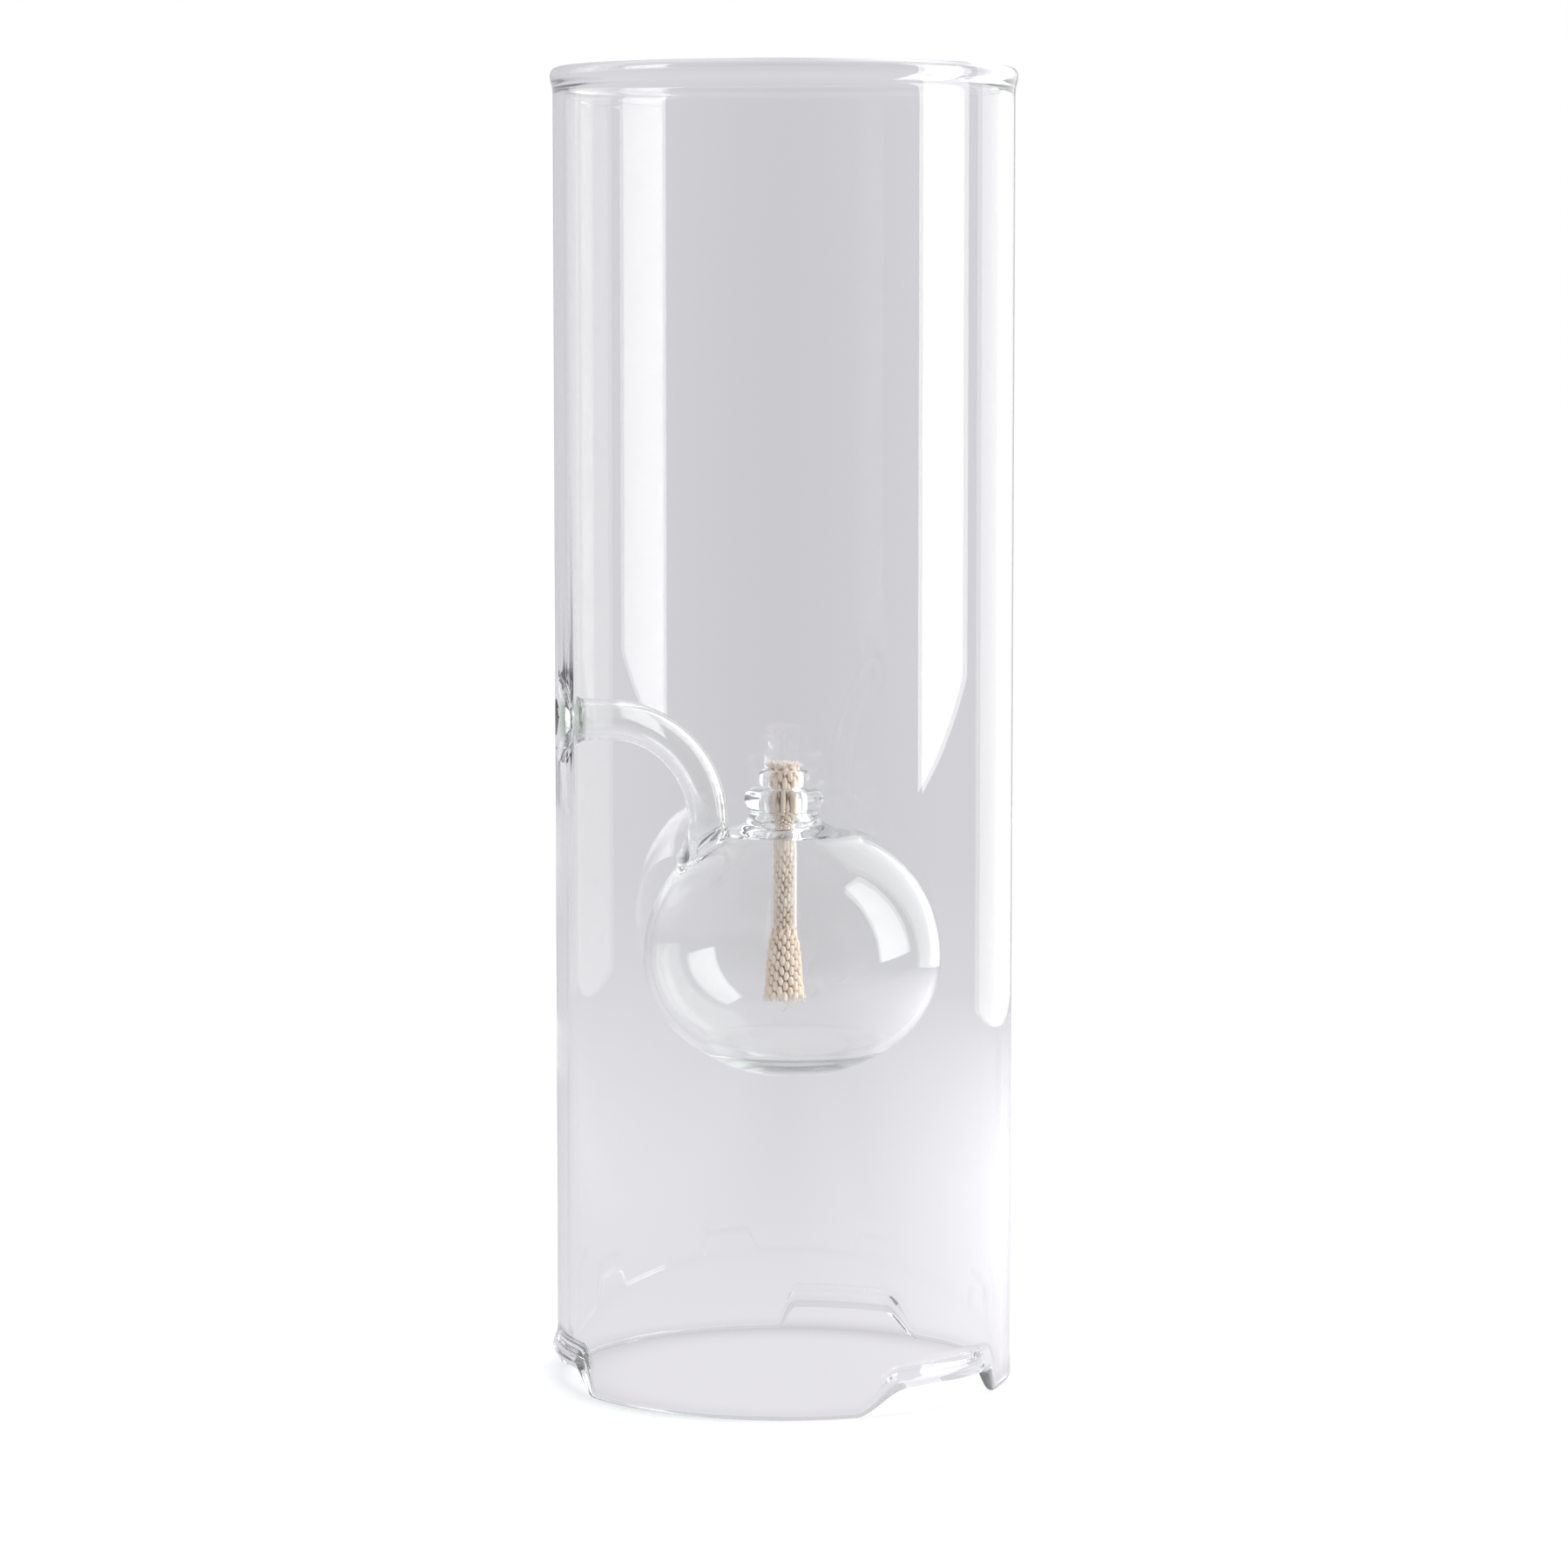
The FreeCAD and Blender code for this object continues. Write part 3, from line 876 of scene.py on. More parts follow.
@dataclass
class GlassBody:
    """Chimney, funnel, arm, bowl and neck, fused into one piece of glass."""

    chimney: Chimney = field(default_factory=Chimney)
    arm: FeedArm = field(default_factory=FeedArm)
    reservoir: Reservoir = field(default_factory=Reservoir)
    melt_rounds: int = 10

    def melt_joints(self, made: bpy.types.Object) -> None:
        """Soften the creases where two glass surfaces were joined.

        Args:
            made: the fused glass, changed in place.
        """
        bm = bmesh.new()
        bm.from_mesh(made.data)
        bmesh.ops.remove_doubles(bm, verts=bm.verts, dist=0.004 * MM)
        creased = {
            vert
            for edge in bm.edges
            if len(edge.link_faces) == 2 and edge.calc_face_angle(0.0) > 0.42
            for vert in edge.verts
            if self.near_joint(vert.co)
        }
        near = set(creased)
        for _ in range(3):
            near |= {edge.other_vert(vert) for vert in near for edge in vert.link_edges}
        near = [vert for vert in near if self.near_joint(vert.co)]
        for _ in range(self.melt_rounds):
            bmesh.ops.smooth_vert(bm, verts=near, factor=0.4, use_axis_x=True, use_axis_y=True, use_axis_z=True)
        for face in bm.faces:
            face.smooth = True
        bm.to_mesh(made.data)
        bm.free()

    def near_joint(self, place: Vector) -> bool:
        """Whether a place, in metres, lies by the funnel's wall or the arm's foot."""
        spot = place / MM
        mouth = Vector((-self.arm.wall_out, 0, self.arm.level))
        foot = Vector((-self.arm.drop, 0, 94.0))
        return (spot - mouth).length < 11.0 or (spot - foot).length < 9.0

    def build(self) -> bpy.types.Object:
        """Fuse the parts.

        Returns:
            One closed mesh.
        """
        made = self.chimney.build()
        arm = self.arm.solid()
        combine(arm, self.reservoir.hollow(), Work.CUT_AWAY)
        combine(arm, self.reservoir.build(), Work.MELT_ON)
        combine(made, arm, Work.MELT_ON)
        combine(made, self.arm.hollow(), Work.CUT_AWAY)
        self.melt_joints(made)
        made.name = "glass_body"
        return made

    def dress(self, made: bpy.types.Object, glass: bpy.types.Material) -> None:
        """Give the glass its finish and its place in the frame."""
        made.data.materials.clear()
        made.data.materials.append(glass)
        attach(made, "glass_body")
        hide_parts("chimney", "filler_funnel", "feed_arm", "reservoir_bowl", "reservoir_neck")


# ---------------------------------------------------------------- wick holder


@dataclass
class WickHolder:
    """The loose glass holder, in millimetres: a button head on a thin tube."""

    head_out: float = 4.45
    head_round: float = 1.25
    flare: float = 3.1
    flare_depth: float = 1.0
    tube_out: float = 2.3
    bore: float = 2.0
    throat: float = 2.64
    throat_out: float = 2.9
    throat_marks: tuple[float, float] = (98.0, 101.2)
    segments: int = 96

    def build(self) -> bpy.types.Object:
        """Make the head and tube as one closed shell."""
        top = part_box("wick_head")[1].z / MM
        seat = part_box("wick_head")[0].z / MM
        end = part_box("wick_tube")[0].z / MM
        turn = self.head_round
        lip = (self.tube_out - self.bore) / 2
        middle = (self.tube_out + self.bore) / 2
        profile = arc((middle, end + lip), lip, 180, 360, 8)
        low, high = self.throat_marks
        third = (high - low) / 3
        profile += [(self.tube_out, z) for z in (end + 1, (end + low) / 2)]
        profile += bezier([(self.tube_out, low), (self.tube_out, low + third), (self.throat_out, high - third),
                           (self.throat_out, high)], 10)
        profile += bezier([(self.throat_out, seat - 0.5), (self.throat_out, seat - 0.1),
                           (self.throat_out + 0.2, seat + 0.02), (self.throat_out + 0.3, seat + 0.02)], 5)
        profile += arc((self.head_out - turn, seat + turn), turn, -90, 0, 8)
        profile += arc((self.head_out - turn, top - turn), turn, 0, 90, 10)
        profile += bezier([(self.flare, top), (self.flare - 0.3, top), (self.throat, top - 0.5),
                           (self.throat, top - self.flare_depth)], 10)
        profile += bezier([(self.throat, high), (self.throat, high - third), (self.bore, low + third),
                           (self.bore, low)], 10)
        profile += [(self.bore, z) for z in ((end + low) / 2, end + 1)]
        return mesh_object("wick_holder_glass", turned(without_doubles(profile), self.segments, True))

    def dress(self, made: bpy.types.Object, glass: bpy.types.Material) -> None:
        """Give the holder its finish and its place in the frame."""
        made.data.materials.append(glass)
        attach(made, "wick_holder")
        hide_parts("wick_tube", "wick_head")


# ---------------------------------------------------------------- wick


class StitchTree:
    """Geometry Nodes that lay one plump stitch on every point of a guide mesh."""

    SIZES = {"Length": 1.85 * MM, "Width": 0.68 * MM, "Depth": 0.66 * MM, "Tilt": 0.07, "Jitter": 0.12}

    def __init__(self, material: bpy.types.Material) -> None:
        """Build the tree.

        Args:
            material: the yarn that every stitch is made of.
        """
        tree = bpy.data.node_groups.new("wick_stitches", "GeometryNodeTree")
        face = tree.interface
        face.new_socket(name="Geometry", in_out="INPUT", socket_type="NodeSocketGeometry")
        face.new_socket(name="Geometry", in_out="OUTPUT", socket_type="NodeSocketGeometry")
        self.sockets: dict[str, str] = {}
        for name, size in self.SIZES.items():
            socket = face.new_socket(name=name, in_out="INPUT", socket_type="NodeSocketFloat")
            socket.default_value = size
            self.sockets[name] = socket.identifier
        self.tree = tree
        shop = NodeShop(tree)
        given = shop.node("NodeGroupInput")
        bead = shop.node("GeometryNodeMeshUVSphere", None, {"Segments": 8, "Rings": 6, "Radius": 0.5})
        bulk = shop.node("ShaderNodeCombineXYZ", None, {
            0: given.out("Width"), 1: given.out("Length"), 2: given.out("Depth"),
        }).out()
        shaped = shop.node("GeometryNodeTransform", None, {"Geometry": bead.out("Mesh"), "Scale": bulk})
        normal = shop.node(
            "GeometryNodeInputNamedAttribute", {"data_type": "FLOAT_VECTOR"}, {"Name": "outward"}
        ).out(0)
        stand = shop.node("FunctionNodeAlignRotationToVector", {"axis": "Z"}, {"Vector": normal}).out()
        upright = shop.node(
            "FunctionNodeAlignRotationToVector", {"axis": "Y", "pivot_axis": "Z"},
            {"Rotation": stand, "Vector": (0.0, 0.0, 1.0)},
        ).out()
        hand = shop.node("GeometryNodeInputNamedAttribute", {"data_type": "FLOAT"}, {"Name": "hand"}).out(0)
        loose = shop.node(
            "FunctionNodeRandomValue", {"data_type": "FLOAT"},
            {2: -1.0, 3: 1.0, "Seed": 7},
        ).out(1)
        lean = hand * given.out("Tilt") + loose * given.out("Jitter")
        twist = shop.node("ShaderNodeCombineXYZ", None, {2: lean}).out()
        turned_in = shop.node(
            "FunctionNodeRotateRotation", {"rotation_space": "LOCAL"},
            {"Rotation": upright, "Rotate By": shop.node("FunctionNodeEulerToRotation", None, {0: twist}).out()},
        ).out()
        swell = shop.node(
            "FunctionNodeRandomValue", {"data_type": "FLOAT"}, {2: 0.86, 3: 1.14, "Seed": 11}
        ).out(1)
        stretch = shop.node("GeometryNodeInputNamedAttribute", {"data_type": "FLOAT"}, {"Name": "girth"}).out(0)
        scale = shop.node("ShaderNodeCombineXYZ", None, {0: stretch * swell, 1: swell, 2: stretch}).out()
        points = shop.node("GeometryNodeInstanceOnPoints", None, {
            "Points": given.out("Geometry"), "Instance": shaped.out(), "Rotation": turned_in, "Scale": scale,
        })
        real = shop.node("GeometryNodeRealizeInstances", None, {0: points.out()})
        soft = shop.node("GeometryNodeSetShadeSmooth", None, {0: real.out()})
        dressed = shop.node("GeometryNodeSetMaterial", None, {0: soft.out(), "Material": material})
        shop.node("NodeGroupOutput", None, {0: dressed.out()})


class FibreTree:
    """Geometry Nodes that stand one short bent fibre on every point of a guide mesh."""

    SIZES = {"Length": 1.6 * MM, "Thickness": 0.05 * MM, "Spread": 0.55}

    def __init__(self, material: bpy.types.Material) -> None:
        """Build the tree.

        Args:
            material: the yarn that every fibre is made of.
        """
        tree = bpy.data.node_groups.new("wick_fibres", "GeometryNodeTree")
        face = tree.interface
        face.new_socket(name="Geometry", in_out="INPUT", socket_type="NodeSocketGeometry")
        face.new_socket(name="Geometry", in_out="OUTPUT", socket_type="NodeSocketGeometry")
        self.sockets: dict[str, str] = {}
        for name, size in self.SIZES.items():
            socket = face.new_socket(name=name, in_out="INPUT", socket_type="NodeSocketFloat")
            socket.default_value = size
            self.sockets[name] = socket.identifier
        self.tree = tree
        shop = NodeShop(tree)
        given = shop.node("NodeGroupInput")
        length = given.out("Length")
        tip = shop.node("ShaderNodeCombineXYZ", None, {0: length * 0.25, 2: length}).out()
        halfway = shop.node("ShaderNodeCombineXYZ", None, {2: length * 0.55}).out()
        line = shop.node(
            "GeometryNodeCurveQuadraticBezier", None,
            {"Resolution": 4, "Start": (0.0, 0.0, 0.0), "Middle": halfway, "End": tip},
        )
        ring = shop.node("GeometryNodeCurvePrimitiveCircle", None,
                         {"Resolution": 4, "Radius": given.out("Thickness")})
        strand = shop.node("GeometryNodeCurveToMesh", None, {0: line.out(), 1: ring.out(), "Fill Caps": True})
        normal = shop.node(
            "GeometryNodeInputNamedAttribute", {"data_type": "FLOAT_VECTOR"}, {"Name": "outward"}
        ).out(0)
        stand = shop.node("FunctionNodeAlignRotationToVector", {"axis": "Z"}, {"Vector": normal}).out()
        wide = shop.node("FunctionNodeRandomValue", {"data_type": "FLOAT"}, {2: -1.0, 3: 1.0, "Seed": 3}).out(1)
        deep = shop.node("FunctionNodeRandomValue", {"data_type": "FLOAT"}, {2: -1.0, 3: 1.0, "Seed": 5}).out(1)
        around = shop.node("FunctionNodeRandomValue", {"data_type": "FLOAT"}, {2: -3.1, 3: 3.1, "Seed": 9}).out(1)
        lean = shop.node("ShaderNodeCombineXYZ", None, {
            0: wide * given.out("Spread"), 1: deep * given.out("Spread"), 2: around,
        }).out()
        turned_in = shop.node(
            "FunctionNodeRotateRotation", {"rotation_space": "LOCAL"},
            {"Rotation": stand, "Rotate By": shop.node("FunctionNodeEulerToRotation", None, {0: lean}).out()},
        ).out()
        size = shop.node("FunctionNodeRandomValue", {"data_type": "FLOAT"}, {2: 0.45, 3: 1.2, "Seed": 13}).out(1)
        points = shop.node("GeometryNodeInstanceOnPoints", None, {
            "Points": given.out("Geometry"), "Instance": strand.out(), "Rotation": turned_in, "Scale": size,
        })
        real = shop.node("GeometryNodeRealizeInstances", None, {0: points.out()})
        dressed = shop.node("GeometryNodeSetMaterial", None, {0: real.out(), "Material": material})
        shop.node("NodeGroupOutput", None, {0: dressed.out()})


def grow(guide: bpy.types.Object, tree: StitchTree | FibreTree, sizes: dict[str, float]) -> bpy.types.Object:
    """Run a tree on a guide mesh and keep the result as a plain mesh.

    Args:
        guide: the mesh whose points carry the instances; it is removed.
        tree: the Geometry Nodes tree.
        sizes: values for its named inputs.

    Returns:
        A new object with the grown mesh.
    """
    modifier = guide.modifiers.new("grow", "NODES")
    modifier.node_group = tree.tree
    for name, size in {**tree.SIZES, **sizes}.items():
        modifier[tree.sockets[name]] = size
    graph = bpy.context.evaluated_depsgraph_get()
    mesh = bpy.data.meshes.new_from_object(guide.evaluated_get(graph))
    guide.modifiers.remove(modifier)
    name = guide.name
    bpy.data.objects.remove(guide)
    made = bpy.data.objects.new(name, mesh)
    bpy.context.scene.collection.objects.link(made)
    return made


def join(name: str, parts: list[bpy.types.Object]) -> bpy.types.Object:
    """Join several mesh objects into one.

    Args:
        name: the joined object's name.
        parts: the objects, of which the first is kept.

    Returns:
        The joined object.
    """
    with bpy.context.temp_override(active_object=parts[0], selected_editable_objects=parts):
        bpy.ops.object.join()
    parts[0].name = name
    return parts[0]


@dataclass
class Wick:
    """The braided cotton wick, in millimetres."""

    radius: float = 1.88
    stitch_row: float = 0.86
    columns: int = 9
    tail_columns: int = 10
    spread: float = 3.1
    throat: float = 2.5
    throat_marks: tuple[float, float] = (98.3, 101.8)
    top: float = field(init=False)
    head_top: float = field(init=False)
    tube_end: float = field(init=False)
    end: float = field(init=False)
    raise_by: float = field(init=False)

    def __post_init__(self) -> None:
        """Take heights and the travel from the frame."""
        self.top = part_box("wick")[1].z / MM
        self.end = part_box("wick")[0].z / MM
        self.head_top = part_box("wick_head")[1].z / MM
        self.tube_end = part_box("wick_tube")[0].z / MM
        joint = next(j for j in frame["joints"] if j["name"] == "wick_raise")
        self.raise_by = joint["range_m"][1] / MM

    def main_radius(self, height: float) -> float:
        """The wick's radius in and above the holder: slim in the tube, fuller in its throat and spread on top."""
        start = self.head_top - 0.9
        low, high = self.throat_marks
        full = self.radius + (self.throat - self.radius) * smooth((height - low) / (high - low))
        if height < start:
            return full
        t = min((height - start) / (self.top - start), 1.0)
        return full + (self.spread - full) * smooth(t * 1.3)

    def tail_radius(self, height: float) -> float:
        """The radius of the free tail under the holder."""
        marks = [(self.tube_end, 2.0), (self.tube_end - 1.5, 2.3), (self.tube_end - 3.9, 2.72),
                 (self.tube_end - 6.9, 2.95), (self.tube_end - 10.3, 3.15), (self.tube_end - 11.6, 3.4),
                 (self.end, 3.2)]
        for (high, r_high), (low, r_low) in zip(marks, marks[1:]):
            if height >= low:
                return r_low + (r_high - r_low) * (height - low) / (high - low)
        return marks[-1][1]

    def stitch_guide(
        self, name: str, high: float, low: float, radius: object, columns: int, sunk: float
    ) -> bpy.types.Object:
        """Points in staggered columns round the wick, one for each stitch.

        Args:
            name: the guide's name.
            high: the top row's height.
            low: the lowest row's height.
            radius: the function that gives the wick's radius at a height.
            columns: how many stitches go round.
            sunk: how far the points lie under the surface.

        Returns:
            A guide mesh whose normals point outwards and whose attributes steer the stitches.
        """
        rows = int((high - low) / self.stitch_row)
        places, normals, hands, girths = [], [], [], []
        for row in range(rows + 1):
            height = high - row * (high - low) / rows
            size = radius(height)
            for column in range(columns):
                angle = 2 * math.pi * (column + (0.5 if row % 2 else 0.0)) / columns + height * 0.03
                outward = Vector((math.cos(angle), math.sin(angle), 0))
                places.append((outward * (size - sunk) + Vector((0, 0, height))) * MM)
                normals.append(outward)
                hands.append(1.0 if row % 2 else -1.0)
                girths.append(size / self.radius * self.columns / columns)
        mesh = bpy.data.meshes.new(name)
        mesh.from_pydata(places, [], [])
        mesh.attributes.new("outward", "FLOAT_VECTOR", "POINT").data.foreach_set(
            "vector", [value for normal in normals for value in normal])
        mesh.attributes.new("hand", "FLOAT", "POINT").data.foreach_set("value", hands)
        mesh.attributes.new("girth", "FLOAT", "POINT").data.foreach_set("value", girths)
        made = bpy.data.objects.new(name, mesh)
        bpy.context.scene.collection.objects.link(made)
        return made

    def core(self, name: str, high: float, low: float, radius: object, sunk: float) -> bpy.types.Object:
        """The closed core under the stitches."""
        steps = 40
        heights = [low + (high - low) * i / steps for i in range(steps + 1)]
        profile = [(0.0, low)] + [(radius(z) - sunk, z) for z in heights] + [(0.0, high + 0.25)]
        return mesh_object(name, turned(profile, 48, False))

    def end_guide(self, name: str, height: float, radius: float, up: float, count: int) -> bpy.types.Object:
        """Points spread over a round end by the sunflower rule, for a tuft.

        Args:
            name: the guide's name.
            height: the end's height.
            radius: the radius that the tuft covers.
            up: 1 for a tuft that stands up, -1 for one that hangs down.
            count: how many fibres it has.

        Returns:
            The guide mesh.
        """
        places, outward = [], []
        for i in range(count):
            reach = radius * math.sqrt((i + 0.5) / count)
            angle = i * math.radians(137.508)
            flat = Vector((math.cos(angle), math.sin(angle), 0))
            places.append((flat * reach + Vector((0, 0, height))) * MM)
            outward.append((flat * (reach / radius) ** 2 * 0.9 + Vector((0, 0, up))).normalized())
        mesh = bpy.data.meshes.new(name)
        mesh.from_pydata(places, [], [])
        mesh.attributes.new("outward", "FLOAT_VECTOR", "POINT").data.foreach_set(
            "vector", [value for normal in outward for value in normal])
        made = bpy.data.objects.new(name, mesh)
        bpy.context.scene.collection.objects.link(made)
        return made

    def stray_thread(self) -> bpy.types.Object:
        """The single thread that curls out under the tail."""
        low = self.end
        path = [(0.9, -1.7, low + 1.6), (0.9, -1.8, low - 0.2), (0.2, -1.7, low - 0.9), (-0.5, -1.5, low - 1.6)]
        places = []
        for i in range(15):
            t = i / 14
            weights = ((1 - t) ** 3, 3 * t * (1 - t) ** 2, 3 * t * t * (1 - t), t ** 3)
            places.append(sum((Vector(p) * w for p, w in zip(path, weights)), Vector()))
        rings = []
        for i, place in enumerate(places):
            along = (places[min(i + 1, 14)] - places[max(i - 1, 0)]).normalized()
            side = along.cross(Vector((0, 1, 0))).normalized() * 0.07
            up = along.cross(side).normalized() * 0.07
            turns = [math.tau * k / 6 for k in range(6)]
            rings.append([place + side * math.cos(a) + up * math.sin(a) for a in turns])
        bm = bmesh.new()
        skin_rings(bm, [[places[0]]] + rings + [[places[-1]]], False)
        return mesh_object("stray_thread", bm)

    def build(
        self, yarn: bpy.types.Material, shade: bpy.types.Material, fray: bpy.types.Material
    ) -> dict[str, bpy.types.Object]:
        """Make the wick in its holder and the tail that hangs under it.

        Args:
            yarn: the cotton finish.
            shade: the core's darker copy of the yarn, painted shade that shows between the stitches.
            fray: the finish of the loose fibres at both ends.

        Returns:
            The two pieces by name.
        """
        stitches, fibres = StitchTree(yarn), FibreTree(fray)
        low = self.tube_end - self.raise_by
        main = [self.core("wick_core", self.top - 0.3, low, self.main_radius, 0.75)]
        main.append(grow(
            self.stitch_guide("wick_braid", self.top - 1.5, low, self.main_radius, self.columns, 0.33),
            stitches, {}))
        main.append(grow(self.end_guide("wick_tuft", self.top - 0.9, self.spread - 0.5, 1, 520), fibres,
                         {"Length": 1.0 * MM, "Spread": 0.5, "Thickness": 0.08 * MM}))
        tail = [self.core("tail_core", self.tube_end - 0.1, self.end + 1.3, self.tail_radius, 0.75)]
        tail.append(grow(
            self.stitch_guide("tail_braid", self.tube_end - 0.9, self.end + 1.3, self.tail_radius,
                              self.tail_columns, 0.2),
            stitches, {}))
        tail.append(self.stray_thread())
        tail.append(grow(self.end_guide("tail_tuft", self.end + 1.5, self.tail_radius(self.end + 1.3), -1, 300),
                         fibres, {"Length": 1.5 * MM, "Spread": 0.5}))
        for part, finish in ((main[0], shade), (tail[0], shade), (tail[2], yarn)):
            part.data.materials.append(finish)
        return {"wick_braid": join("wick_braid", main), "wick_tail": join("wick_tail", tail)}

    def dress(self, made: dict[str, bpy.types.Object]) -> None:
        """Give the two pieces their places in the frame, and the tail a mesh of its own."""
        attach(made["wick_braid"], "wick")
        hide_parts("wick")
        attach(made["wick_tail"], "wick_holder")
        length = self.tube_end - self.end
        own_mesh(made["wick_tail"], "wick_raise", (0, 0, 1), (0, 0, self.tube_end * MM),
                  keep=(length - self.raise_by) / length)


# ---------------------------------------------------------------- studio


@dataclass
class Studio:
    """Floor, surrounding light, softbox and camera, in metres."""

    azimuth: float = -12.0
    distance: float = 0.8968
    eye: float = 0.1913
    pitch: float = 5.52
    lens: float = 118.1
    surround: float = 0.67
    dip: float = 0.42
    floor_near_painted_glow: float = 0.80
    painted_shadow_ring: float = 0.0395
    air: tuple[float, float, float] = (1.0, 0.98, 1.035)

    def around(self, angle: float, reach: float, height: float) -> Vector:
        """A place round the lamp.

        Args:
            angle: degrees from the camera, to its right.
            reach: the distance from the lamp's axis.
            height: the height above the floor.

        Returns:
            The place.
        """
        a = math.radians(self.azimuth + angle)
        return Vector((math.sin(a) * reach, -math.cos(a) * reach, height))

    def card(
        self, name: str, near: tuple[float, float, float], far: tuple[float, float, float], top: float,
        glow: tuple[float, float],
    ) -> bpy.types.Object:
        """A glowing card that only glass sees, standing upright with a slanting lower edge.

        Args:
            name: the card's name.
            near: the edge nearer the camera, as its angle, its reach and the height of its foot.
            far: the edge farther from the camera, in the same way.
            top: the height of the card's upper edge.
            glow: its brightness along the near edge and along the far one.

        Returns:
            The card.
        """
        first, last = self.around(*near), self.around(*far)
        mesh = bpy.data.meshes.new(name)
        mesh.from_pydata([first, last, Vector((last.x, last.y, top)), Vector((first.x, first.y, top))],
                         [], [(0, 1, 2, 3)])
        made = bpy.data.objects.new(name, mesh)
        bpy.context.scene.collection.objects.link(made)
        material, shop = new_material(name)
        place = shop.node("ShaderNodeTexCoord").out("Object")
        along = Vector((last.x - first.x, last.y - first.y, 0))
        reach = shop.node("ShaderNodeVectorMath", {"operation": "DOT_PRODUCT"}, {0: place, 1: along}).out("Value")
        share = ((reach - first.dot(along)) / along.length_squared).clamped()
        strength = share * (glow[1] - glow[0]) + glow[0]
        light = shop.node("ShaderNodeEmission", None, {"Color": (1, 1, 1, 1), "Strength": strength}).out()
        shop.node("ShaderNodeOutputMaterial", None, {"Surface": light})
        mesh.materials.append(material)
        made.visible_camera = False
        made.visible_shadow = False
        made.visible_diffuse = False
        return made

    def floor(self) -> None:
        """A pale floor: matt and glowing for the camera, a glowing grey for the glass, each with a painted soft
        shadow at the foot; the grey has painted light and shade as well.
        """
        mesh = bpy.data.meshes.new("floor")
        mesh.from_pydata([(-6, -6, 0), (6, -6, 0), (6, 6, 0), (-6, 6, 0)], [], [(0, 1, 2, 3)])
        made = bpy.data.objects.new("floor", mesh)
        made.location.z = FRAME_BOX[0].z
        bpy.context.scene.collection.objects.link(made)
        material, shop = new_material("pale_floor")
        place = shop.node("ShaderNodeTexCoord").out("Object")
        reach = shop.node("ShaderNodeVectorMath", {"operation": "LENGTH"}, {0: place}).out("Value")
        # Painted contact shadow: a darker ring round the chimney's foot, in the glass's view of the floor.
        off_ring = (reach - self.painted_shadow_ring).absolute()
        painted_contact_shadow = 1 - 0.24 * (1 - off_ring / 0.013).clamped() ** 2
        # Painted light: the floor that the glass sees glows brighter near the lamp and fades to the surround far
        # off.
        far = ((reach - 0.05) / 0.75).clamped() ** 0.7
        # Painted light: the floor as the glass sees it is lighter on the right, towards the softbox.
        right = shop.node("ShaderNodeVectorMath", {"operation": "DOT_PRODUCT"},
                          {0: place, 1: self.around(90, 1, 0)}).out("Value")
        painted_lit_side = 0.5 * ((right - 0.02) / 0.1).clamped() * (1 - (reach - 0.2) / 0.3).clamped()
        ahead = shop.node("ShaderNodeVectorMath", {"operation": "DOT_PRODUCT"},
                          {0: place, 1: self.around(0, 1, 0)}).out("Value")
        path = shop.node("ShaderNodeLightPath")
        # Painted shade: after a reflection the floor is darker far ahead, as the world is.
        shade = self.dip * far * (ahead / reach).clamped() ** 1.6 * path.out("Glossy Depth").clamped()
        grey = (self.floor_near_painted_glow + (self.surround - self.floor_near_painted_glow) * far + painted_lit_side - shade) * painted_contact_shadow
        seen = path.out("Is Camera Ray")
        painted_glass_floor = shop.node("ShaderNodeEmission", None, {"Color": (*self.air, 1), "Strength": grey}).out()
        # Painted soft shadow round the foot, in the camera's view of the floor and in its glow.
        soft = 1 - 0.38 * (1 - off_ring / 0.02).clamped() ** 2
        paper_with_painted_shadow = shop.node("ShaderNodeCombineXYZ", None, {0: 0.93 * soft, 1: 0.93 * soft, 2: 0.94 * soft}).out()
        matt = shop.node("ShaderNodeBsdfDiffuse", None, {"Color": paper_with_painted_shadow}).out()
        glow = shop.node("ShaderNodeEmission", None, {"Color": (1, 1, 1, 1), "Strength": 0.4 * soft}).out()
        lit = shop.node("ShaderNodeAddShader", None, {0: matt, 1: glow}).out()
        both = shop.node("ShaderNodeMixShader", None, {0: seen, 1: painted_glass_floor, 2: lit}).out()
        shop.node("ShaderNodeOutputMaterial", None, {"Surface": both})
        mesh.materials.append(material)

    def world(self) -> None:
        """Soft light all round: pale where the camera looks, a little darker behind it."""
        world = bpy.data.worlds.new("studio")
        bpy.context.scene.world = world
        world.use_nodes = True
        shop = NodeShop(world.node_tree)
        direction = shop.node("ShaderNodeTexCoord").out("Generated")
        front = self.around(0, 1, 0)
        facing = shop.node("ShaderNodeVectorMath", {"operation": "DOT_PRODUCT"},
                           {0: direction, 1: front}).out("Value")
        height = shop.node("ShaderNodeSeparateXYZ", None, {0: direction}).out("Z")
        path = shop.node("ShaderNodeLightPath")
        mirrored = path.out("Glossy Depth").clamped()
        shade = self.surround - self.dip * (facing.clamped() ** 1.6) * mirrored + 0.1 * height.clamped()
        seen = path.out("Is Camera Ray")
        strength = shade * (1 - seen) + seen * 1.02
        light = shop.node("ShaderNodeBackground", None, {"Color": (*self.air, 1), "Strength": strength}).out()
        shop.node("ShaderNodeOutputWorld", None, {"Surface": light})

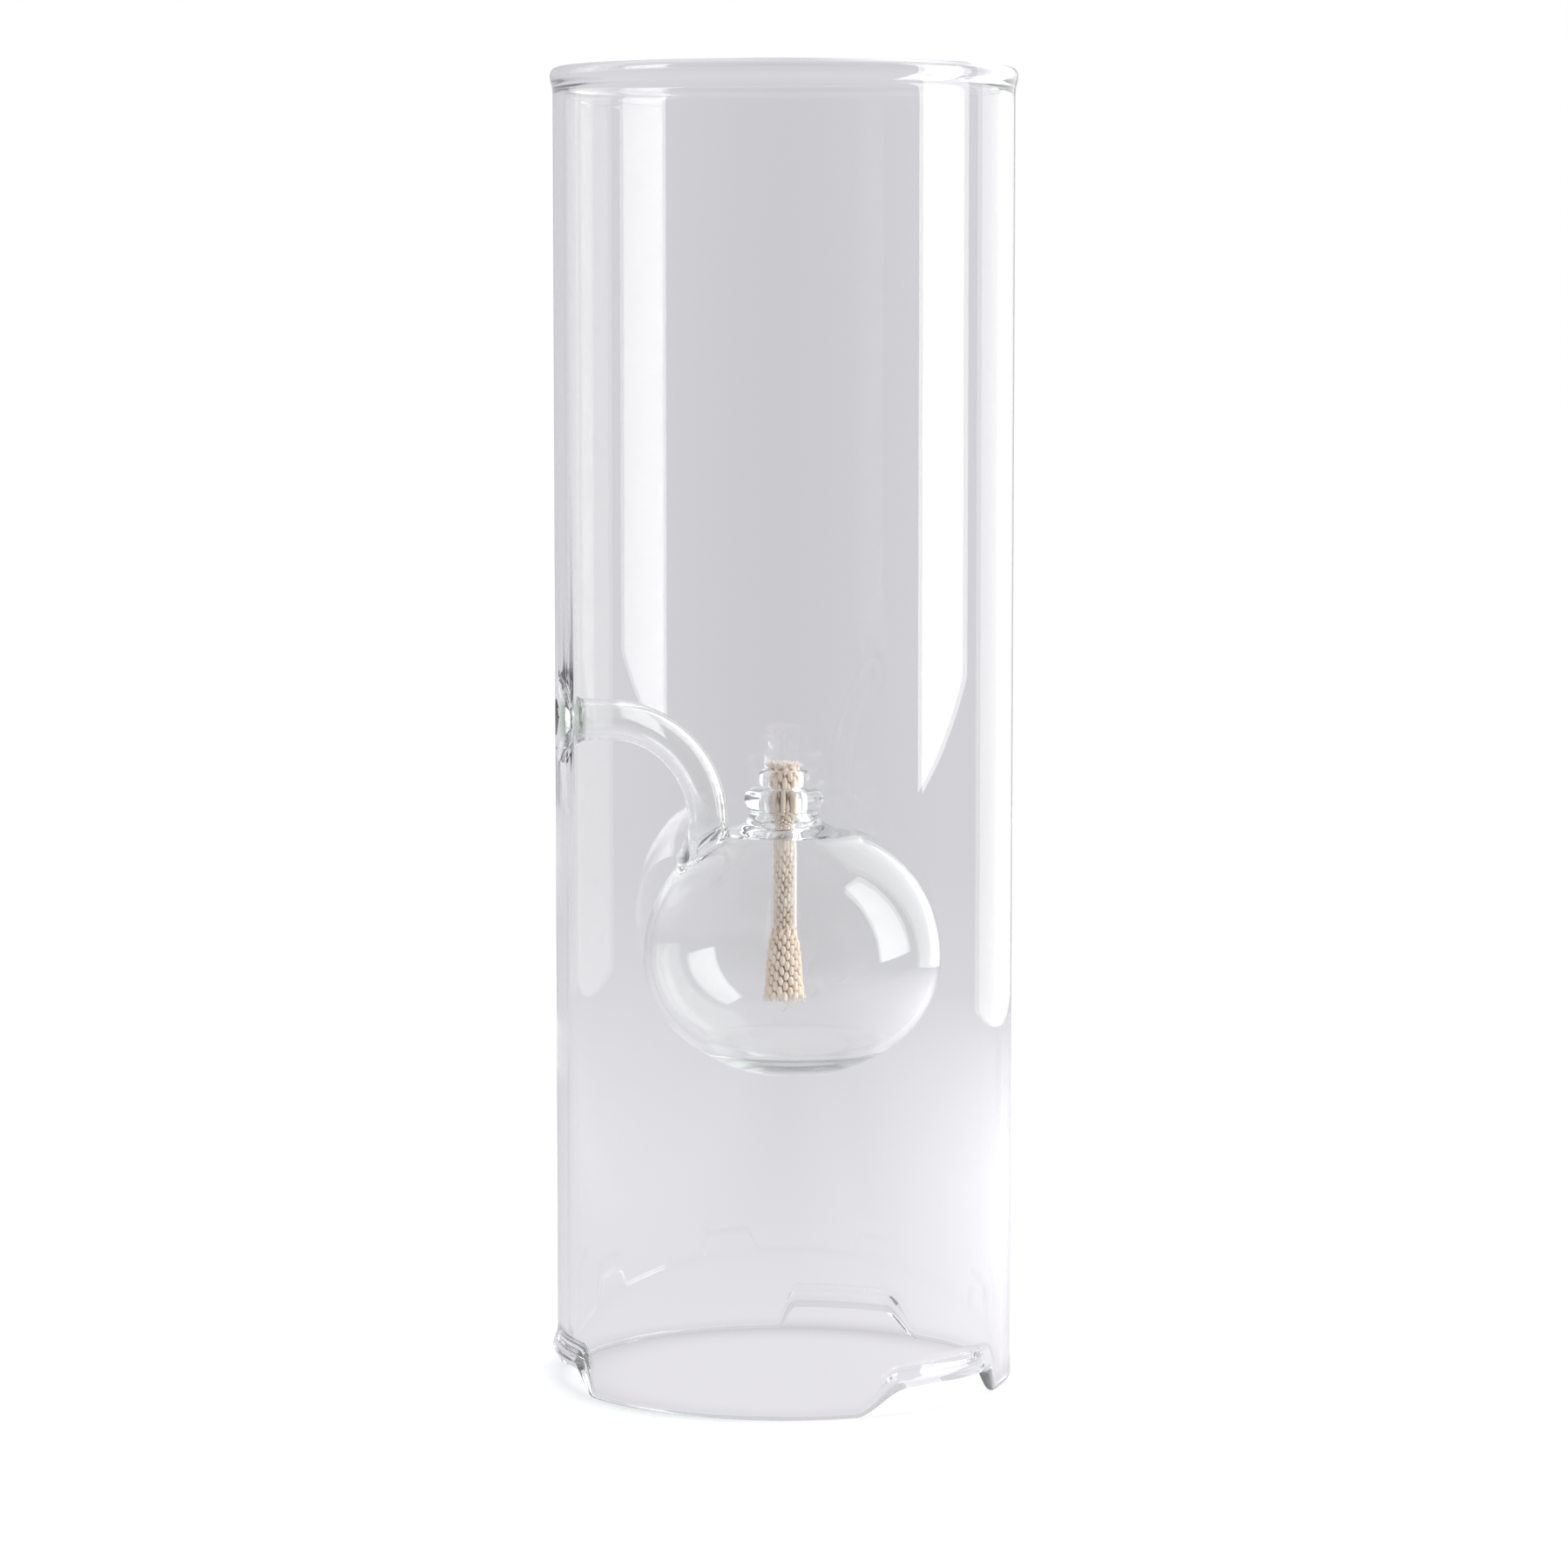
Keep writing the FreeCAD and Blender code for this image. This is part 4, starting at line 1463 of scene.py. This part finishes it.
    def softbox(self) -> None:
        """The large softbox on the right and the white wall beyond it."""
        data = bpy.data.lights.new("softbox", "AREA")
        data.shape = "RECTANGLE"
        data.size, data.size_y = 0.34, 0.5
        data.energy = 4.2
        lamp = bpy.data.objects.new("softbox", data)
        lamp.location = self.around(92, 0.5, 0.3)
        aim = Vector((0, 0, 0.12)) - lamp.location
        lamp.rotation_mode = "QUATERNION"
        lamp.rotation_quaternion = aim.to_track_quat("-Z", "Y")
        lamp.visible_glossy = False
        lamp.visible_transmission = False
        bpy.context.scene.collection.objects.link(lamp)
        self.card("softbox_face", (70, 0.5, 0.06), (101, 0.56, 0.085), 0.8, (6.2, 3.8))
        self.card("white_wall", (112, 0.5, 0.0), (160, 0.5, 0.0), 0.9, (1.8, 1.3))

    def camera(self) -> None:
        """The camera, level with the lamp's upper half and tipped down a little."""
        data = bpy.data.cameras.new("camera")
        data.lens = self.lens
        data.sensor_width = 36.0
        made = bpy.data.objects.new("camera", data)
        made.location = self.around(0, self.distance, self.eye)
        level = -self.around(0, 1, 0)
        aim = level * math.cos(math.radians(self.pitch)) - Vector((0, 0, math.sin(math.radians(self.pitch))))
        made.rotation_mode = "QUATERNION"
        made.rotation_quaternion = aim.to_track_quat("-Z", "Y")
        bpy.context.scene.collection.objects.link(made)
        bpy.context.scene.camera = made

    def build(self) -> None:
        """Set up the whole studio."""
        bpy.context.scene.view_settings.view_transform = "Standard"
        self.world()
        self.floor()
        self.softbox()
        self.camera()


# ---------------------------------------------------------------- main


def main() -> None:
    """Build every piece in order, then the studio."""
    logging.basicConfig(level=logging.INFO, format="%(message)s")
    glass = ClearGlass().material()
    holder_glass = ClearGlass(name="holder_glass").material()
    yarn = CottonYarn().material()
    # The core's yarn is a darker copy: painted shade in the gaps between the stitches.
    shade = CottonYarn(name="cotton_core_painted_shade", light=(0.72, 0.55, 0.43), dark=(0.52, 0.37, 0.27)).material()
    body = GlassBody()
    made = body.build()
    body.dress(made, glass)
    log.info("glass body: %d faces", len(made.data.polygons))
    holder = WickHolder()
    tube = holder.build()
    holder.dress(tube, holder_glass)
    log.info("wick holder: %d faces", len(tube.data.polygons))
    wick = Wick()
    fray = CottonYarn(name="cotton_fray", light=(0.98, 0.93, 0.86), dark=(0.93, 0.85, 0.76)).material()
    pieces = wick.build(yarn, shade, fray)
    wick.dress(pieces)
    for name, piece in pieces.items():
        log.info("%s: %d faces", name, len(piece.data.polygons))
    Studio().build()


if __name__ == "__main__":
    main()
